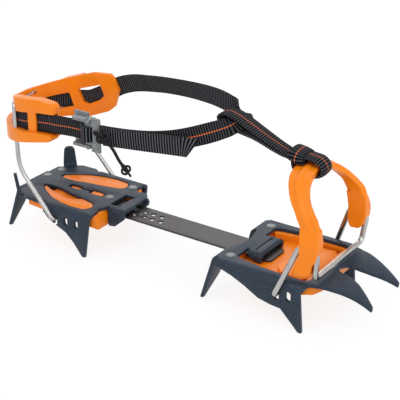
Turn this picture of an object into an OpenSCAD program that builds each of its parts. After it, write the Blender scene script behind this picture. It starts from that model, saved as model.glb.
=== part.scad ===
/* [Steel sheet] */
// Thickness of the pressed steel frames
sheet = 2.5; // [2:0.1:3]
// Depth of the point tips below the sole plane
point_depth = 37; // [34:1:40]
// Lean of the rear points of both frames from the vertical
point_lean = 15; // [10:1:18]
// Outside bend radius of the rear points
point_bend_r = 6; // [5:0.5:7]

/* [Front frame] */
// Half width over the front side flanges
front_half_w = 41.5; // [40:0.5:44]
// Outside bend radius of the front side flanges
front_bend_r = 6; // [5:0.5:7]
// Line where the front frame's rear points start to bend
front_rear_x = 11; // [10:0.5:12]
// Line where the toe points start to curve down
toe_curve_x = 92; // [90:1:94]
// Radius of the toe points' downward curve
toe_curve_r = 62; // [58:1:70]
// Half distance between the tips of the toe points
toe_tip_y = 21; // [19:0.5:23]
// Position along the foot of the front bail hole
front_bail_x = 63.5; // [62:0.5:65]
// Depth of the bail holes below the sole plane, front
front_bail_z = 11; // [10:0.5:12]
// Step to the spare front bail hole
front_bail_step = 9.5; // [9:0.5:10]
// Position along the foot of the ear rivets
ear_rivet_x = 17; // [16.5:0.5:18]
// Half distance between the ear rivets
ear_rivet_y = 28.5; // [27:0.5:29]
// Half width of the bridge between the ears
tongue_half_w = 16.5; // [16:0.5:17]

/* [Heel frame] */
// Half width over the heel side flanges
heel_half_w = 39; // [38:0.5:40]
// Outside bend radius of the heel side flanges
heel_bend_r = 5; // [4.5:0.5:5.5]
// Line where the heel frame's rear points start to bend
heel_rear_x = -188.5; // [-190:0.5:-188]
// Position along the foot of the heel bail hole
heel_bail_x = -141.5; // [-142:0.5:-141]
// Depth of the heel bail holes below the sole plane
heel_bail_z = 10; // [9.5:0.5:11]
// Step between the heel bail holes
heel_bail_step = 10.5; // [10:0.5:11]
// Half width of the adjuster neck
neck_half_w = 17; // [16.5:0.5:17.5]
// Height of the heel guide tabs above the sole plane
heel_tab_h = 15.5; // [14:0.5:17]

/* [Link bar] */
// Width of the link bar
bar_w = 23; // [22:0.5:23]
// Thickness of the link bar
bar_t = 1.6; // [1.4:0.1:1.8]
// Depth of the bar's top face below the sole plane
bar_top = 6.2; // [6:0.1:6.4]
// Front end of the bar
bar_front_x = 40; // [38:1:42]
// Rear end of the bar
bar_rear_x = -150; // [-151:1:-148]
// Pitch of the adjustment holes in one row
bar_pitch = 8.2; // [8:0.1:8.3]
// Half distance between the two rows of holes
bar_row_y = 3.7; // [3.5:0.1:4]
// Diameter of the adjustment holes
bar_hole_d = 4.6; // [4.4:0.1:4.8]
// Number of holes in each row
bar_holes = 10; // [8:1:10]

/* [Bails] */
// Wire diameter of the toe bail
toe_wire_d = 4.2; // [3.8:0.1:4.4]
// Wire diameter of the heel bail
heel_wire_d = 3.6; // [3.2:0.1:3.8]
// Radial clearance of a wire in its pivot hole
pivot_gap = 0.05; // [0.02:0.01:0.09]
// Length of the slotted bail holes
bail_slot_l = 7.6; // [7:0.1:8]

/* [Toe cage] */
// Outside half width of the cage arch
cage_r = 36.5; // [36:0.5:37.5]
// Wall of the cage arch
cage_t = 5; // [4.5:0.5:5.5]
// Height of the arch centre above the sole plane
cage_z = 45; // [44:0.5:46]
// Height of the cage's crown above the sole plane
cage_top = 74.5; // [74:0.25:75]
// Height of the raised rib on the cage
cage_rib = 1; // [0.6:0.1:1.4]

/* [Heel cup] */
// Inside radius of the cup
cup_r = 33.5; // [32.5:0.5:34]
// Wall of the cup
cup_t = 3; // [2.5:0.25:3]

/* [Webbing] */
// Width of the webbing
web_w = 15; // [14:0.5:15.5]
// Thickness of the webbing
web_t = 1.6; // [1.2:0.1:1.7]

/* [Rivets] */
// Diameter of the rivet heads
rivet_head_d = 7; // [6:0.5:7.5]
// Diameter of the rivet shanks
rivet_d = 4; // [3.5:0.5:4.5]

/* [Hidden] */
$fn = 48;
eps = 0.01;
run_gap = 0.3;
tip_w = 2.6;
bend_parts = 12;
prong_bend_r = 4;
neck_bend_r = 3;
front_flat_w = front_half_w - front_bend_r;
tongue_flat_w = tongue_half_w - prong_bend_r;
neck_flat_w = neck_half_w - neck_bend_r;
steel_blue = [0.22, 0.27, 0.33];
bright_steel = [0.72, 0.72, 0.72];
bar_grey = [0.45, 0.43, 0.43];
orange = [0.95, 0.45, 0.08];
web_black = [0.08, 0.08, 0.09];
buckle_grey = [0.5, 0.52, 0.53];

bar_bottom = bar_top + bar_t;
tray_t = 2.2;
tray_top = bar_bottom;
tray_bottom = bar_bottom + tray_t;
rivet_sink = 1.4;
rivet_drop = tray_bottom;
pin_hole_index = 5;
far_row_x = -68;
near_row_x = -64;
latch_pin_x = near_row_x - pin_hole_index * bar_pitch;
latch_pivot_x = -112;
latch_pivot_z = -4.35;
latch_pivot_d = 1.4;
latch_barrel_d = 2.6;
latch_half_w = 9;
latch_t = 1.1;
slot_rear_x = -108.5;
slot_front_x = -98.5;
slot_half_y = 10.5;
spring_t = 0.5;
buckle_rear_x = -118;
buckle_back_y = -37.2;
buckle_low = 58.6;
buckle_high = 86.6;
buckle_t = 1.5;
buckle_pin_x = -102;
buckle_pin_y = -42;
buckle_pin_d = 2;
arm_wall = 1.8;
cup_x = -163;
strap_end_x = -142;
cup_out = cup_r + cup_t;
strap_gap = 0.4;
strap_mid = cup_out + strap_gap + web_t / 2;

// Reach of the bails' feet inside and outside the frames' flanges
toe_foot_in = 5.1;
toe_foot_out = 3.7;
heel_foot_in = 4.6;
heel_foot_out = 3;

// Heel bail wire at the cup: clear of the strap and of the wall, bend radius at the rear and where it starts
wire_strap_gap = 4.5;
wire_stand_off = 1.1;
cup_wire_bend = cup_r + 0.5;
cup_wire_turn = cup_r - 21.7;

// Half width of the front snow plate, between the flanges' bends
tray_half_w = front_flat_w - run_gap;

// Corners of the toe bail wire on one side: position and bend radius
toe_wire_pts = [
    [front_bail_x, front_half_w - toe_foot_in, -front_bail_z, 0],
    [front_bail_x, front_half_w + toe_foot_out, -front_bail_z, 3],
    [78.2, 37.6, 27.6, 4.5],
    [92.4, 37.2, 27, 4.5],
    [90, 34.8, 5.5, 5]
];
toe_wire_path = concat(toe_wire_pts, far_half(toe_wire_pts));

// Corners of the heel bail wire on one side of the heel: position and bend radius
heel_wire_pts = [
    [heel_bail_x, heel_half_w - heel_foot_in, -heel_bail_z, 0],
    [heel_bail_x, heel_half_w + heel_foot_out, -heel_bail_z, 3],
    [-174.5, max(heel_half_w + 2, cup_out + wire_strap_gap), 27, 30]
];
// Corners where the wire is moulded into the cup, from the far side to the near side
cup_wire_pts = [
    [-178.4, cup_out + wire_stand_off, 72, 3],
    [cup_x - cup_r - cup_t / 2, cup_wire_turn, 72, cup_wire_bend],
    [cup_x - cup_r - cup_t / 2, -cup_wire_turn, 72, cup_wire_bend],
    [-178.4, -cup_out - wire_stand_off, 78.5, 3]
];
heel_wire_path = concat(heel_wire_pts, cup_wire_pts, far_half(heel_wire_pts));

// Middle line of the heel strap on the cup, far side and near side: along the foot, height
far_strap_line = [[-210, 61], [-199, 61], [-182, 60], [-164, 62], [-152, 67.6], [strap_end_x, 74]];
near_strap_line = [[-210, 61], [-199, 61], [-182, 64], [-165, 67], [-152, 69.1], [strap_end_x, 70.1]];

// Sections of the webbing: middle point, then direction of its width
far_rear_pts = [
    strap_section(far_strap_line, 1),
    [-131.5, strap_mid + 0.8, 80.2, -0.42, -0.03, 0.9],
    [-120, strap_mid + 0.7, 84.4, -0.25, -0.03, 0.97],
    [-100, 36.8, 88.4, -0.1, 0, 1]
];
far_front_pts = [
    [-100, 36.8, 88.4, -0.1, 0, 1],
    [-88, 35.2, 90.4, -0.06, 0, 1],
    [-75, 33, 92.2, -0.02, 0, 1],
    [-60, 29.6, 94.2, 0, 0, 1],
    [-45, 25.4, 96, 0, 0, 1],
    [-32, 21, 97.4, -0.05, 0, 1],
    [-20, 16.6, 98, -0.2, 0.05, 0.97],
    [-10, 13.4, 97.4, -0.5, 0.1, 0.85],
    [-2, 11.2, 95.8, -0.8, 0.1, 0.58],
    [3, 8.4, 93.8, -0.92, 0, 0.38]
];
fold_pts = [
    [3, 8.4, 93.8, -0.92, 0, 0.38],
    [4.4, 4.4, 92.8, -0.94, 0, 0.34],
    [4.8, 0, 92.3, -0.94, 0, 0.34],
    [4.2, -4.4, 91.8, -0.94, 0, 0.34],
    [2.4, -8.4, 90.6, -0.9, 0.08, 0.42]
];
near_run_pts = [
    [2.4, -8.4, 90.6, -0.9, 0.08, 0.42],
    [-2, -12, 88.6, -0.76, 0.2, 0.6],
    [-9, -17, 86, -0.5, 0.2, 0.84],
    [-18, -22.6, 83, -0.25, 0.12, 0.96],
    [-29, -28, 80, -0.1, 0.05, 1],
    [-45, -33.2, 77, 0, 0, 1],
    [-65, -36.6, 74.6, 0, 0, 1],
    [-80, -37.8, 73.4, 0, 0, 1],
    [-93, -38.3, 72.6, 0, 0, 1]
];
near_rear_pts = [
    strap_section(near_strap_line, -1),
    [-134, -strap_mid - 0.8, 70.9, -0.08, 0, 1],
    [-125, -38.3, 71.7, -0.05, 0, 1],
    [-93.4, -38.3, 72.6, 0, 0, 1]
];
tail_pts = [
    [-88.6, -40.9, 73, 0, 0, 1],
    [-75, -40.2, 74.2, 0, 0, 1],
    [-55, -38.6, 75.8, 0, 0, 1],
    [-35, -36.6, 77.4, 0, 0, 1],
    [-12, -34.3, 79.1, 0, 0, 1]
];
// Toe strap loop in the centre plane: along the foot, height
toe_loop_pts = [
    [50, 77.8], [58, 78], [66, 78], [72.6, 77.2], [76, 73.4], [75.4, 69], [70, 66.6],
    [61, 66.4], [54, 67.4], [47, 69.6], [36, 74], [24, 79.2], [12, 84.8], [2, 88.4],
    [-5, 90.2], [-8.6, 92], [-9.4, 94.6], [-7.6, 97], [-3, 98], [4, 96.6], [14, 92.4],
    [26, 86.8], [40, 80.8]
];
// Pull cord from the buckle bar to its end knob
cord_pts = [
    [-92.6, -44.4, 75.2], [-90, -44.9, 75], [-86.4, -45, 74], [-82.6, -44.9, 72], [-79, -44.5, 69],
    [-76, -44, 65.4], [-73.8, -43.6, 61.6], [-71.8, -43.4, 58.4], [-69.6, -43.2, 55.8]
];
cord_d = 2.4;

// Direction helpers for swept webbing
function unit(v) = v / norm(v);
function mid(p) = [p[0], p[1], p[2]];
function wid(p) = unit([p[3], p[4], p[5]]);
function tangent(pts, i, before, after) = unit(
    (i < len(pts) - 1 ? mid(pts[i + 1]) : after) - (i > 0 ? mid(pts[i - 1]) : before));
function ring(c, w, n) = [
    c + w * web_w / 2 + n * web_t / 2,
    c - w * web_w / 2 + n * web_t / 2,
    c - w * web_w / 2 - n * web_t / 2,
    c + w * web_w / 2 - n * web_t / 2
];
function across(pts, i, before, after) = unit(cross(tangent(pts, i, before, after), wid(pts[i])));
function side_faces(i, j) = [for (k = [0:3]) each [
    [4 * i + k, 4 * j + k, 4 * i + (k + 1) % 4],
    [4 * i + (k + 1) % 4, 4 * j + k, 4 * j + (k + 1) % 4]
]];

// Open length of webbing through the listed sections, its ends square to the webbing before and after it
module ribbon(pts, before, after) {
    n = len(pts);
    corners = [for (i = [0:n - 1]) each ring(mid(pts[i]), wid(pts[i]), across(pts, i, before, after))];
    sides = [for (i = [0:n - 2]) each side_faces(i, i + 1)];
    ends = [[0, 1, 2], [0, 2, 3], [4 * n - 1, 4 * n - 2, 4 * n - 3], [4 * n - 1, 4 * n - 3, 4 * n - 4]];
    polyhedron(points = corners, faces = concat(sides, ends));
}

// Closed loop of webbing lying across the foot
module closed_ribbon(pts) {
    n = len(pts);
    w = [0, 1, 0];
    dir = [for (i = [0:n - 1]) unit([
        pts[(i + 1) % n][0] - pts[(i + n - 1) % n][0], 0,
        pts[(i + 1) % n][1] - pts[(i + n - 1) % n][1]])];
    corners = [for (i = [0:n - 1]) each ring([pts[i][0], 0, pts[i][1]], w, cross(dir[i], w))];
    sides = [for (i = [0:n - 1]) each side_faces(i, (i + 1) % n)];
    polyhedron(points = corners, faces = sides);
}

// Round tube through the listed points, its facets kept clear of one fixed direction
module tube(pts, d, facets, ref) {
    n = len(pts);
    dir = [for (i = [0:n - 1]) unit(pts[min(i + 1, n - 1)] - pts[max(i - 1, 0)])];
    u = [for (i = [0:n - 1]) unit(cross(dir[i], ref))];
    v = [for (i = [0:n - 1]) cross(dir[i], u[i])];
    corners = [for (i = [0:n - 1]) for (k = [0:facets - 1])
        pts[i] + d / 2 * (cos(360 * k / facets) * u[i] + sin(360 * k / facets) * v[i])];
    sides = [for (i = [0:n - 2]) for (k = [0:facets - 1]) each [
        [i * facets + k, (i + 1) * facets + k, i * facets + (k + 1) % facets],
        [i * facets + (k + 1) % facets, (i + 1) * facets + k, (i + 1) * facets + (k + 1) % facets]
    ]];
    first = [for (k = [1:facets - 2]) [0, k, k + 1]];
    e = (n - 1) * facets;
    last = [for (k = [1:facets - 2]) [e, e + k + 1, e + k]];
    polyhedron(points = corners, faces = concat(sides, first, last));
}

// Corners of the other side, in running order
function far_half(pts) = [for (i = [len(pts) - 1:-1:0]) [pts[i][0], -pts[i][1], pts[i][2], pts[i][3]]];

// Direction and edges of a line in the side view
function line_dir(pts, i) = unit(pts[min(i + 1, len(pts) - 1)] - pts[max(i - 1, 0)]);
function line_edge(pts, i, h) = pts[i] + h * [-line_dir(pts, i)[1], line_dir(pts, i)[0]];
function line_band(pts, half) = concat(
    [for (i = [0:len(pts) - 1]) line_edge(pts, i, -half)],
    [for (i = [len(pts) - 1:-1:0]) line_edge(pts, i, half)]);

// Section of the webbing where it leaves the cup on one side, and a point that leads it straight off
function strap_dir(line) = line_dir(line, len(line) - 1);
function strap_section(line, side) = [
    strap_end_x, side * strap_mid, line[len(line) - 1][1], -strap_dir(line)[1], 0, strap_dir(line)[0]];
function strap_lead(pts, line) = mid(pts[1]) - 10 * [strap_dir(line)[0], 0, strap_dir(line)[1]];

function leg(pts, i) = unit(mid(pts[i + 1]) - mid(pts[i]));
function turn(pts, i) = acos(max(-1, min(1, leg(pts, i - 1) * leg(pts, i))));
function setback(pts, i) = pts[i][3] == 0 ? 0 : pts[i][3] * tan(turn(pts, i) / 2);
function inward(pts, i) = unit(leg(pts, i) - (leg(pts, i) * leg(pts, i - 1)) * leg(pts, i - 1));

// Points along the round bend at one corner of a wire
function bend_start(pts, i) = mid(pts[i]) - leg(pts, i - 1) * setback(pts, i);
function bend_centre(pts, i) = bend_start(pts, i) + inward(pts, i) * pts[i][3];
function bend_point(pts, i, t) = bend_centre(pts, i)
    + pts[i][3] * (sin(t) * leg(pts, i - 1) - cos(t) * inward(pts, i));
function bend_steps(pts, i) = max(2, ceil(turn(pts, i) / 15));
function bend_points(pts, i) = [for (k = [0:bend_steps(pts, i)])
    bend_point(pts, i, turn(pts, i) * k / bend_steps(pts, i))];
function wire_points(pts) = concat(
    [mid(pts[0])],
    [for (i = [1:len(pts) - 2]) each bend_points(pts, i)],
    [mid(pts[len(pts) - 1])]);

// Bent wire through the listed corners
module wire(pts, d, ref) {
    tube(wire_points(pts), d, 16, ref);
}

module both_sides() {
    children();
    mirror([0, 1, 0]) children();
}

// Flat shape in the side view, extruded across the foot
module side_prism(half_w) {
    rotate([90, 0, 0]) linear_extrude(2 * half_w, center = true) children();
}

// Flat shape in the side view, extruded to one side of the foot
module half_prism(side) {
    translate([0, side > 0 ? 60 : 1, 0]) rotate([90, 0, 0]) linear_extrude(61) children();
}

// Flat shape in the front view, extruded along the foot
module front_prism(x0, x1) {
    translate([x0, 0, 0]) rotate([90, 0, 90]) linear_extrude(x1 - x0) children();
}

// Flat shape in the plan view, extruded up
module plan_prism(z0, z1) {
    translate([0, 0, z0]) linear_extrude(z1 - z0) children();
}

// Slot with round ends, long side upright
module slot_2d(w, l) {
    square([w, l - w], center = true);
    translate([0, (l - w) / 2]) circle(d = w);
    translate([0, (w - l) / 2]) circle(d = w);
}

// Sheet that starts flat and bends down by ang, then runs straight
function bend_arc(r, a0, a1) = [for (i = [0:bend_parts])
    let (a = a0 + (a1 - a0) * i / bend_parts) [r * sin(a), r * cos(a)]];

module bent_strip(r, ang, run) {
    along = run * [cos(ang), -sin(ang)];
    normal = [sin(ang), cos(ang)];
    translate([0, -r]) polygon(concat(
        [[-1, r - sheet], [-1, r]],
        bend_arc(r, 0, ang),
        [r * normal + along, (r - sheet) * normal + along],
        bend_arc(r - sheet, ang, 0)));
}

// Section with rounded upper corners
module hood_2d(half_w, r, depth) {
    translate([-half_w + r, -r]) square([2 * (half_w - r), r]);
    for (s = [-1, 1]) translate([s * (half_w - r), -r]) circle(r, $fn = 96);
    translate([-half_w, -depth]) square([2 * half_w, depth - r]);
}

// Cross section of a pressed channel, open below
module channel_2d(half_w, r, depth) {
    difference() {
        hood_2d(half_w, r, depth);
        translate([0, -sheet]) hood_2d(half_w - sheet, r - sheet, depth);
    }
}

// Rivet with a flush countersunk head and a lower button
module rivet(drop) {
    translate([0, 0, -rivet_sink]) cylinder(h = rivet_sink, d1 = rivet_d, d2 = rivet_head_d);
    translate([0, 0, -drop]) cylinder(h = drop - rivet_sink, d = rivet_d);
    translate([0, 0, -drop - 1.2]) cylinder(h = 1.2, d = rivet_head_d - 0.6);
}

// Downward points on the rear edge of a frame, seen from the front
module rear_points(x, outline) {
    run = (point_depth - point_bend_r * (1 - sin(point_lean))) / cos(point_lean);
    both_sides() intersection() {
        translate([x, 0, 0]) mirror([1, 0, 0])
            side_prism(2 * front_half_w) bent_strip(point_bend_r, 90 - point_lean, run + 2);
        front_prism(x - 60, x + 2) polygon(outline);
    }
}

module front_frame() color(steel_blue) {
    rear_points(front_rear_x, [
        [17, 1], [front_flat_w, 1], [38, -point_depth], [38 - tip_w, -point_depth], [21.5, -22],
        [17.6, -10]]);
    difference() {
        union() {
            front_shell();
            front_toe();
            front_prongs();
        }
        front_holes();
    }
}

// Top plate with its two side flanges
module front_shell() {
    intersection() {
        front_prism(front_rear_x, toe_curve_x) channel_2d(front_half_w, front_bend_r, point_depth + 1);
        side_prism(front_half_w + 1) polygon([
            [front_rear_x, 1], [toe_curve_x + 1, 1], [toe_curve_x + 1, -sheet - 1.5], [81.9, -sheet - 1.5],
            [84.4, -point_depth], [84.4 - tip_w, -point_depth], [67, -22.3], [58.5, -21.6],
            [48.5, -19.6], [37, -13.4], [26, -8.6], [front_rear_x, -4]]);
        difference() {
            plan_prism(-point_depth - 1, 1) polygon([
                [front_rear_x, -50], [84.6, -50], [84.6, -37.5], [87, -34], [toe_curve_x + 1, -32.6],
                [toe_curve_x + 1, 32.6], [87, 34], [84.6, 37.5], [84.6, 50], [front_rear_x, 50]]);
            plan_prism(-sheet - 1, 1) polygon([
                [33, -tongue_flat_w], [33, tongue_flat_w], [21.5, tongue_flat_w], [21.5, 26.5],
                [24, 28.5], [45, 31.5], [80, 32.5], [83.5, 29], [83.5, -29], [80, -32.5], [45, -31.5],
                [24, -28.5], [21.5, -26.5], [21.5, -tongue_flat_w]]);
            translate([-23, 0, -sheet - 1]) cylinder(h = sheet + 2, r = 38, $fn = 128);
        }
    }
}

// Two toe points curving down
module front_toe() {
    intersection() {
        translate([toe_curve_x, 0, -toe_curve_r]) side_prism(40) difference() {
            intersection() {
                circle(toe_curve_r, $fn = 256);
                square(toe_curve_r);
            }
            circle(toe_curve_r - sheet, $fn = 256);
        }
        plan_prism(-30, 1) difference() {
            polygon([
                [toe_curve_x - 1, -32.6], [101, -30.6], [115, -26], [128.2, -toe_tip_y - tip_w / 2],
                [128.2, toe_tip_y + tip_w / 2], [115, 26], [101, 30.6], [toe_curve_x - 1, 32.6]]);
            polygon([
                [98, -6.6], [104, -7.4], [112, -10], [130, -toe_tip_y + tip_w / 2 - 1],
                [130, toe_tip_y - tip_w / 2 + 1], [112, 10], [104, 7.4], [98, 6.6]]);
        }
    }
}

// Two guide prongs bent down beside the bar
module front_prongs() {
    intersection() {
        front_prism(24, 36) channel_2d(tongue_half_w, prong_bend_r, bar_top + 2);
        side_prism(tongue_half_w + 1) polygon([
            [24, 1], [33, 1], [35.6, -3], [35, -bar_top - 1], [29, -bar_top - 1], [24, -3]]);
    }
}

module front_holes() {
    for (i = [0, 1]) translate([front_bail_x + i * front_bail_step, 0, -front_bail_z])
        side_prism(front_half_w + 2) bail_slot(toe_wire_d, i);
    plan_prism(-sheet - 1, 1) translate([28.5, 0]) square([2.4, 23], center = true);
    translate([98, 0, -sheet - 1]) cylinder(h = sheet + 2, r = 6.6);
    ear_rivets();
}

// Bail hole: the wire's own hole sits at one end of its slot
module bail_slot(d, i) {
    w = d + 2 * pivot_gap;
    if (i == 0) translate([0, (w - bail_slot_l) / 2]) slot_2d(w, bail_slot_l);
    else slot_2d(w, bail_slot_l);
}

module ear_rivets() {
    for (s = [-1, 1]) translate([ear_rivet_x, s * ear_rivet_y, 0]) rivet(rivet_drop);
}

module front_rivets() color(bright_steel) ear_rivets();

// Snow plate under the front frame, a tray with a channel for the bar
module front_antiball_plate() color(orange) difference() {
    union() {
        plan_prism(-tray_bottom, -tray_top) front_tray_2d();
        plan_prism(-tray_top - eps, -sheet) difference() {
            front_tray_2d();
            polygon([
                [20, -26], [23, -24], [46, 6.2 - tray_half_w], [79, 5.2 - tray_half_w],
                [79, tray_half_w - 5.2], [46, tray_half_w - 6.2], [23, 24], [20, 26]]);
        }
        plan_prism(-tray_top - eps, -3.6) polygon([
            [50, -17], [56, -24], [74, -26], [78, -22], [78, 22], [74, 26], [56, 24], [50, 17]]);
        plan_prism(-tray_top - eps, -sheet)
            for (s = [-1, 1]) translate([ear_rivet_x, s * ear_rivet_y]) circle(5.5);
    }
    plan_prism(-tray_top, 0) translate([0, -bar_w / 2 - run_gap])
        square([bar_front_x + 1, bar_w + 2 * run_gap]);
    plan_prism(-tray_top + eps, 0)
        for (s = [-1, 1]) translate([23, s * 15.2 - 2.1]) square([14, 4.2]);
    ear_rivets();
}

module front_tray_2d() {
    polygon([
        [13.5, 1.7 - tray_half_w], [16, -tray_half_w], [80, -tray_half_w], [87, 4.2 - tray_half_w],
        [90, -22], [90, 22], [87, tray_half_w - 4.2], [80, tray_half_w], [16, tray_half_w],
        [13.5, tray_half_w - 1.7]]);
}

module toe_bail_wire() color(bright_steel) wire(toe_wire_path, toe_wire_d, [-0.57, 0.57, 0.59]);

// Filled outline of the cage seen from the front: an oval crown on straight legs
module cage_outline_2d(out, low) {
    rise = cage_top - cage_z + out - cage_r;
    polygon(concat(
        [[out, low]],
        [for (a = [0:5:180]) [out * cos(a), cage_z + rise * sin(a)]],
        [[-out, low]]));
}

// Arch of the cage seen from the front
module cage_arch_2d(out, wall) {
    difference() {
        cage_outline_2d(out, 0);
        cage_outline_2d(out - wall, -1);
    }
}

module toe_cage() color(orange) union() {
    intersection() {
        front_prism(40, 110) cage_arch_2d(cage_r, cage_t / 2);
        side_prism(60) cage_side_2d();
    }
    intersection() {
        front_prism(40, 110) cage_arch_2d(cage_r - cage_t / 2 + 0.2, cage_t / 2 + 0.2);
        side_prism(60) polygon([
            [82.4, 16.4], [88, 17], [90.8, 20], [92.6, 27], [92.8, 35], [91.8, 42], [89, 49.2], [81, 58],
            [75.2, 65.2], [72.4, 70.2], [72.2, 78], [60, 78], [60.2, 72.6], [61.3, 69.8], [63.8, 66.4],
            [68.4, 60.4], [76, 51.4], [81, 43], [81.4, 33], [80.6, 25], [80.8, 18.8]]);
    }
    intersection() {
        front_prism(40, 110) cage_arch_2d(cage_r + cage_rib, cage_t);
        side_prism(60) polygon([
            [84.4, 40], [87.6, 41], [82.2, 51.8], [74, 62], [69, 69], [67, 73.4], [66.8, 79], [63, 79],
            [63.2, 73.4], [64.6, 69], [69.6, 62], [77.4, 51.8]]);
    }
    both_sides() intersection() {
        front_prism(70, 100) polygon([
            [cage_r - cage_t, 14], [cage_r + 2, 14], [cage_r + 3.9, 20], [cage_r + 3.9, 32], [cage_r + 2.4, 38],
            [cage_r - 0.4, 44], [cage_r - cage_t, 44]]);
        side_prism(60) cage_side_2d();
    }
    intersection() {
        front_prism(70, 100) polygon([
            [cage_t - cage_r, 4], [-cage_r - 2, 4], [-cage_r - 3.9, 9], [-cage_r - 3.9, 26],
            [cage_t - cage_r, 26]]);
        side_prism(60) polygon([
            [73.4, 5.4], [75, 4.2], [79, 4.2], [87.6, 9.4], [88.4, 11.5], [90.4, 22], [80.4, 24], [77.2, 17]]);
    }
}

// One arm of the cage seen from the side
module cage_side_2d() {
    polygon([
        [82, 15.8], [88.4, 16.4], [91.6, 19.6], [93.6, 27], [93.8, 35], [92.8, 42], [90, 49.4], [82, 58.2],
        [76.2, 65.4], [73.4, 70.4], [73.2, 78], [56.4, 78], [56.6, 72.8], [57.4, 70.4], [59.6, 67.4],
        [64.4, 61.2], [72.3, 51.6], [77.4, 42.1], [79, 33], [79, 25], [80, 18.4]]);
}

module toe_loop() color(web_black) closed_ribbon(toe_loop_pts);

// Row of adjustment holes in the bar
module bar_row(x0, y) {
    for (i = [0:bar_holes - 1]) translate([x0 - i * bar_pitch, y]) circle(d = bar_hole_d);
}

module link_bar() color(bar_grey) {
    plan_prism(-bar_bottom, -bar_top) difference() {
        union() {
            translate([bar_rear_x + 4, -bar_w / 2]) square([bar_front_x - bar_rear_x - 8, bar_w]);
            translate([bar_rear_x, -bar_w / 2 + 4]) square([bar_front_x - bar_rear_x, bar_w - 8]);
            for (x = [bar_rear_x + 4, bar_front_x - 4]) for (s = [-1, 1])
                translate([x, s * (bar_w / 2 - 4)]) circle(4);
        }
        bar_row(far_row_x, bar_row_y);
        bar_row(near_row_x, -bar_row_y);
    }
    translate([27.7, -10, -bar_top - eps]) cube([bar_t, 20, bar_top - 0.6]);
}

module heel_frame() color(steel_blue) {
    rear_points(heel_rear_x, [
        [11, 1], [24, 1], [24.5, -5], [28, -point_depth], [28 - tip_w, -point_depth], [14, -19],
        [11.5, -10]]);
    heel_tabs();
    difference() {
        union() {
            plan_prism(-sheet, 0) heel_plan_2d();
            heel_flanges();
            neck_walls();
        }
        heel_holes();
    }
}

// Plan of the heel plate between its bends
module heel_plan_2d() {
    polygon([
        [-192, -10.6], [heel_rear_x, -11], [heel_rear_x, -24], [-186.6, -25.6], [-178, -34.2],
        [-174, -36.6], [-160, -37], [-155, -34], [-108, -34], [-108.6, -27], [-110.5, -21.5],
        [-108, -18], [-106.4, -neck_flat_w],
        [-91.5, -neck_flat_w], [-91.5, neck_flat_w], [-94, 20], [-97, 21.6], [-101, 21.4],
        [-104, 19], [-108.6, 27], [-108, 34],
        [-155, 34], [-160, 37], [-174, 36.6], [-178, 34.2], [-186.6, 25.6], [heel_rear_x, 24],
        [heel_rear_x, 11], [-192, 10.6]]);
}

// Side flanges of the heel frame with their points
module heel_flanges() {
    intersection() {
        front_prism(-160, -106) channel_2d(heel_half_w, heel_bend_r, point_depth + 1);
        side_prism(heel_half_w + 1) polygon([
            [-154, 1], [-107.4, 1], [-107.6, -3], [-113, -point_depth], [-113 - tip_w, -point_depth],
            [-124, -26.5], [-131.5, -19.8], [-142, -15.5], [-149, -12], [-154, -7]]);
        plan_prism(-point_depth - 1, 1)
            for (s = [-1, 1]) translate([-133, s * 37]) square([60, 7], center = true);
    }
}

// Walls of the adjuster neck beside the bar
module neck_walls() {
    intersection() {
        front_prism(-106, -88) {
            intersection() {
                channel_2d(neck_half_w, neck_bend_r, 17);
                translate([-40, -40]) square([40, 80]);
            }
            translate([neck_half_w - sheet, -17]) square([sheet, 17 - sheet / 2]);
        }
        side_prism(neck_half_w + 1) polygon([
            [-105.5, 1], [-91.5, 1], [-89.5, -4], [-90.5, -7], [-99, -14.6], [-104.5, -15.5],
            [-105.5, -14]]);
    }
}

// Tabs bent up at the rear corners to guide the boot heel
module heel_tabs() {
    both_sides() translate([-182.3, 29.9, 0]) rotate(135) intersection() {
        side_prism(8) translate([0, -sheet]) mirror([0, 1]) bent_strip(5, 82, heel_tab_h - 1.5);
        front_prism(-2, 20) polygon([
            [-5.6, -sheet - 1], [5.6, -sheet - 1], [5.6, 1.5],
            [4.4, heel_tab_h - 2.4], [3, heel_tab_h - 0.6], [1.4, heel_tab_h], [-1.4, heel_tab_h],
            [-3, heel_tab_h - 0.6], [-4.4, heel_tab_h - 2.4], [-5.6, 1.5]]);
    }
}

module heel_holes() {
    for (i = [0:2]) translate([heel_bail_x + i * heel_bail_step, 0, -heel_bail_z])
        side_prism(heel_half_w + 2) bail_slot(heel_wire_d, i);
    plan_prism(-sheet - 1, 1) {
        for (s = [-1, 1]) scale_y(s) polygon([
            [-175.5, 9.5], [-170, 8], [-160, 8.4], [-148, 11.4], [-134, 13.6], [-121, 16.4], [-117.6, 19],
            [-116.6, 22.6], [-117.6, 27], [-121, 30], [-132, 31], [-144, 29.6], [-157, 25.6], [-168, 19],
            [-175, 13.6], [-176.4, 11.4]]);
        polygon([
            [-158, -2.4], [-156, -3.2], [-147, -3.2], [-145, -1], [-137, -1], [-135.5, -3.4], [-124, -3.4],
            [-122, -1.6], [-122, 1.6], [-124, 3.4], [-135.5, 3.4], [-137, 1], [-145, 1], [-147, 3.2],
            [-156, 3.2], [-158, 2.4]]);
        translate([slot_rear_x, -slot_half_y]) square([slot_front_x - slot_rear_x, 2 * slot_half_y]);
    }
    heel_plate_rivets();
    spring_rivet();
}

module scale_y(s) {
    if (s > 0) children();
    else mirror([0, 1]) children();
}

module heel_plate_rivets() {
    translate([-184, 20.5, 0]) rivet(rivet_drop);
    translate([-187, 5.4, 0]) rivet(rivet_drop);
    translate([-112.6, 25, 0]) rivet(rivet_drop);
}

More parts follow.
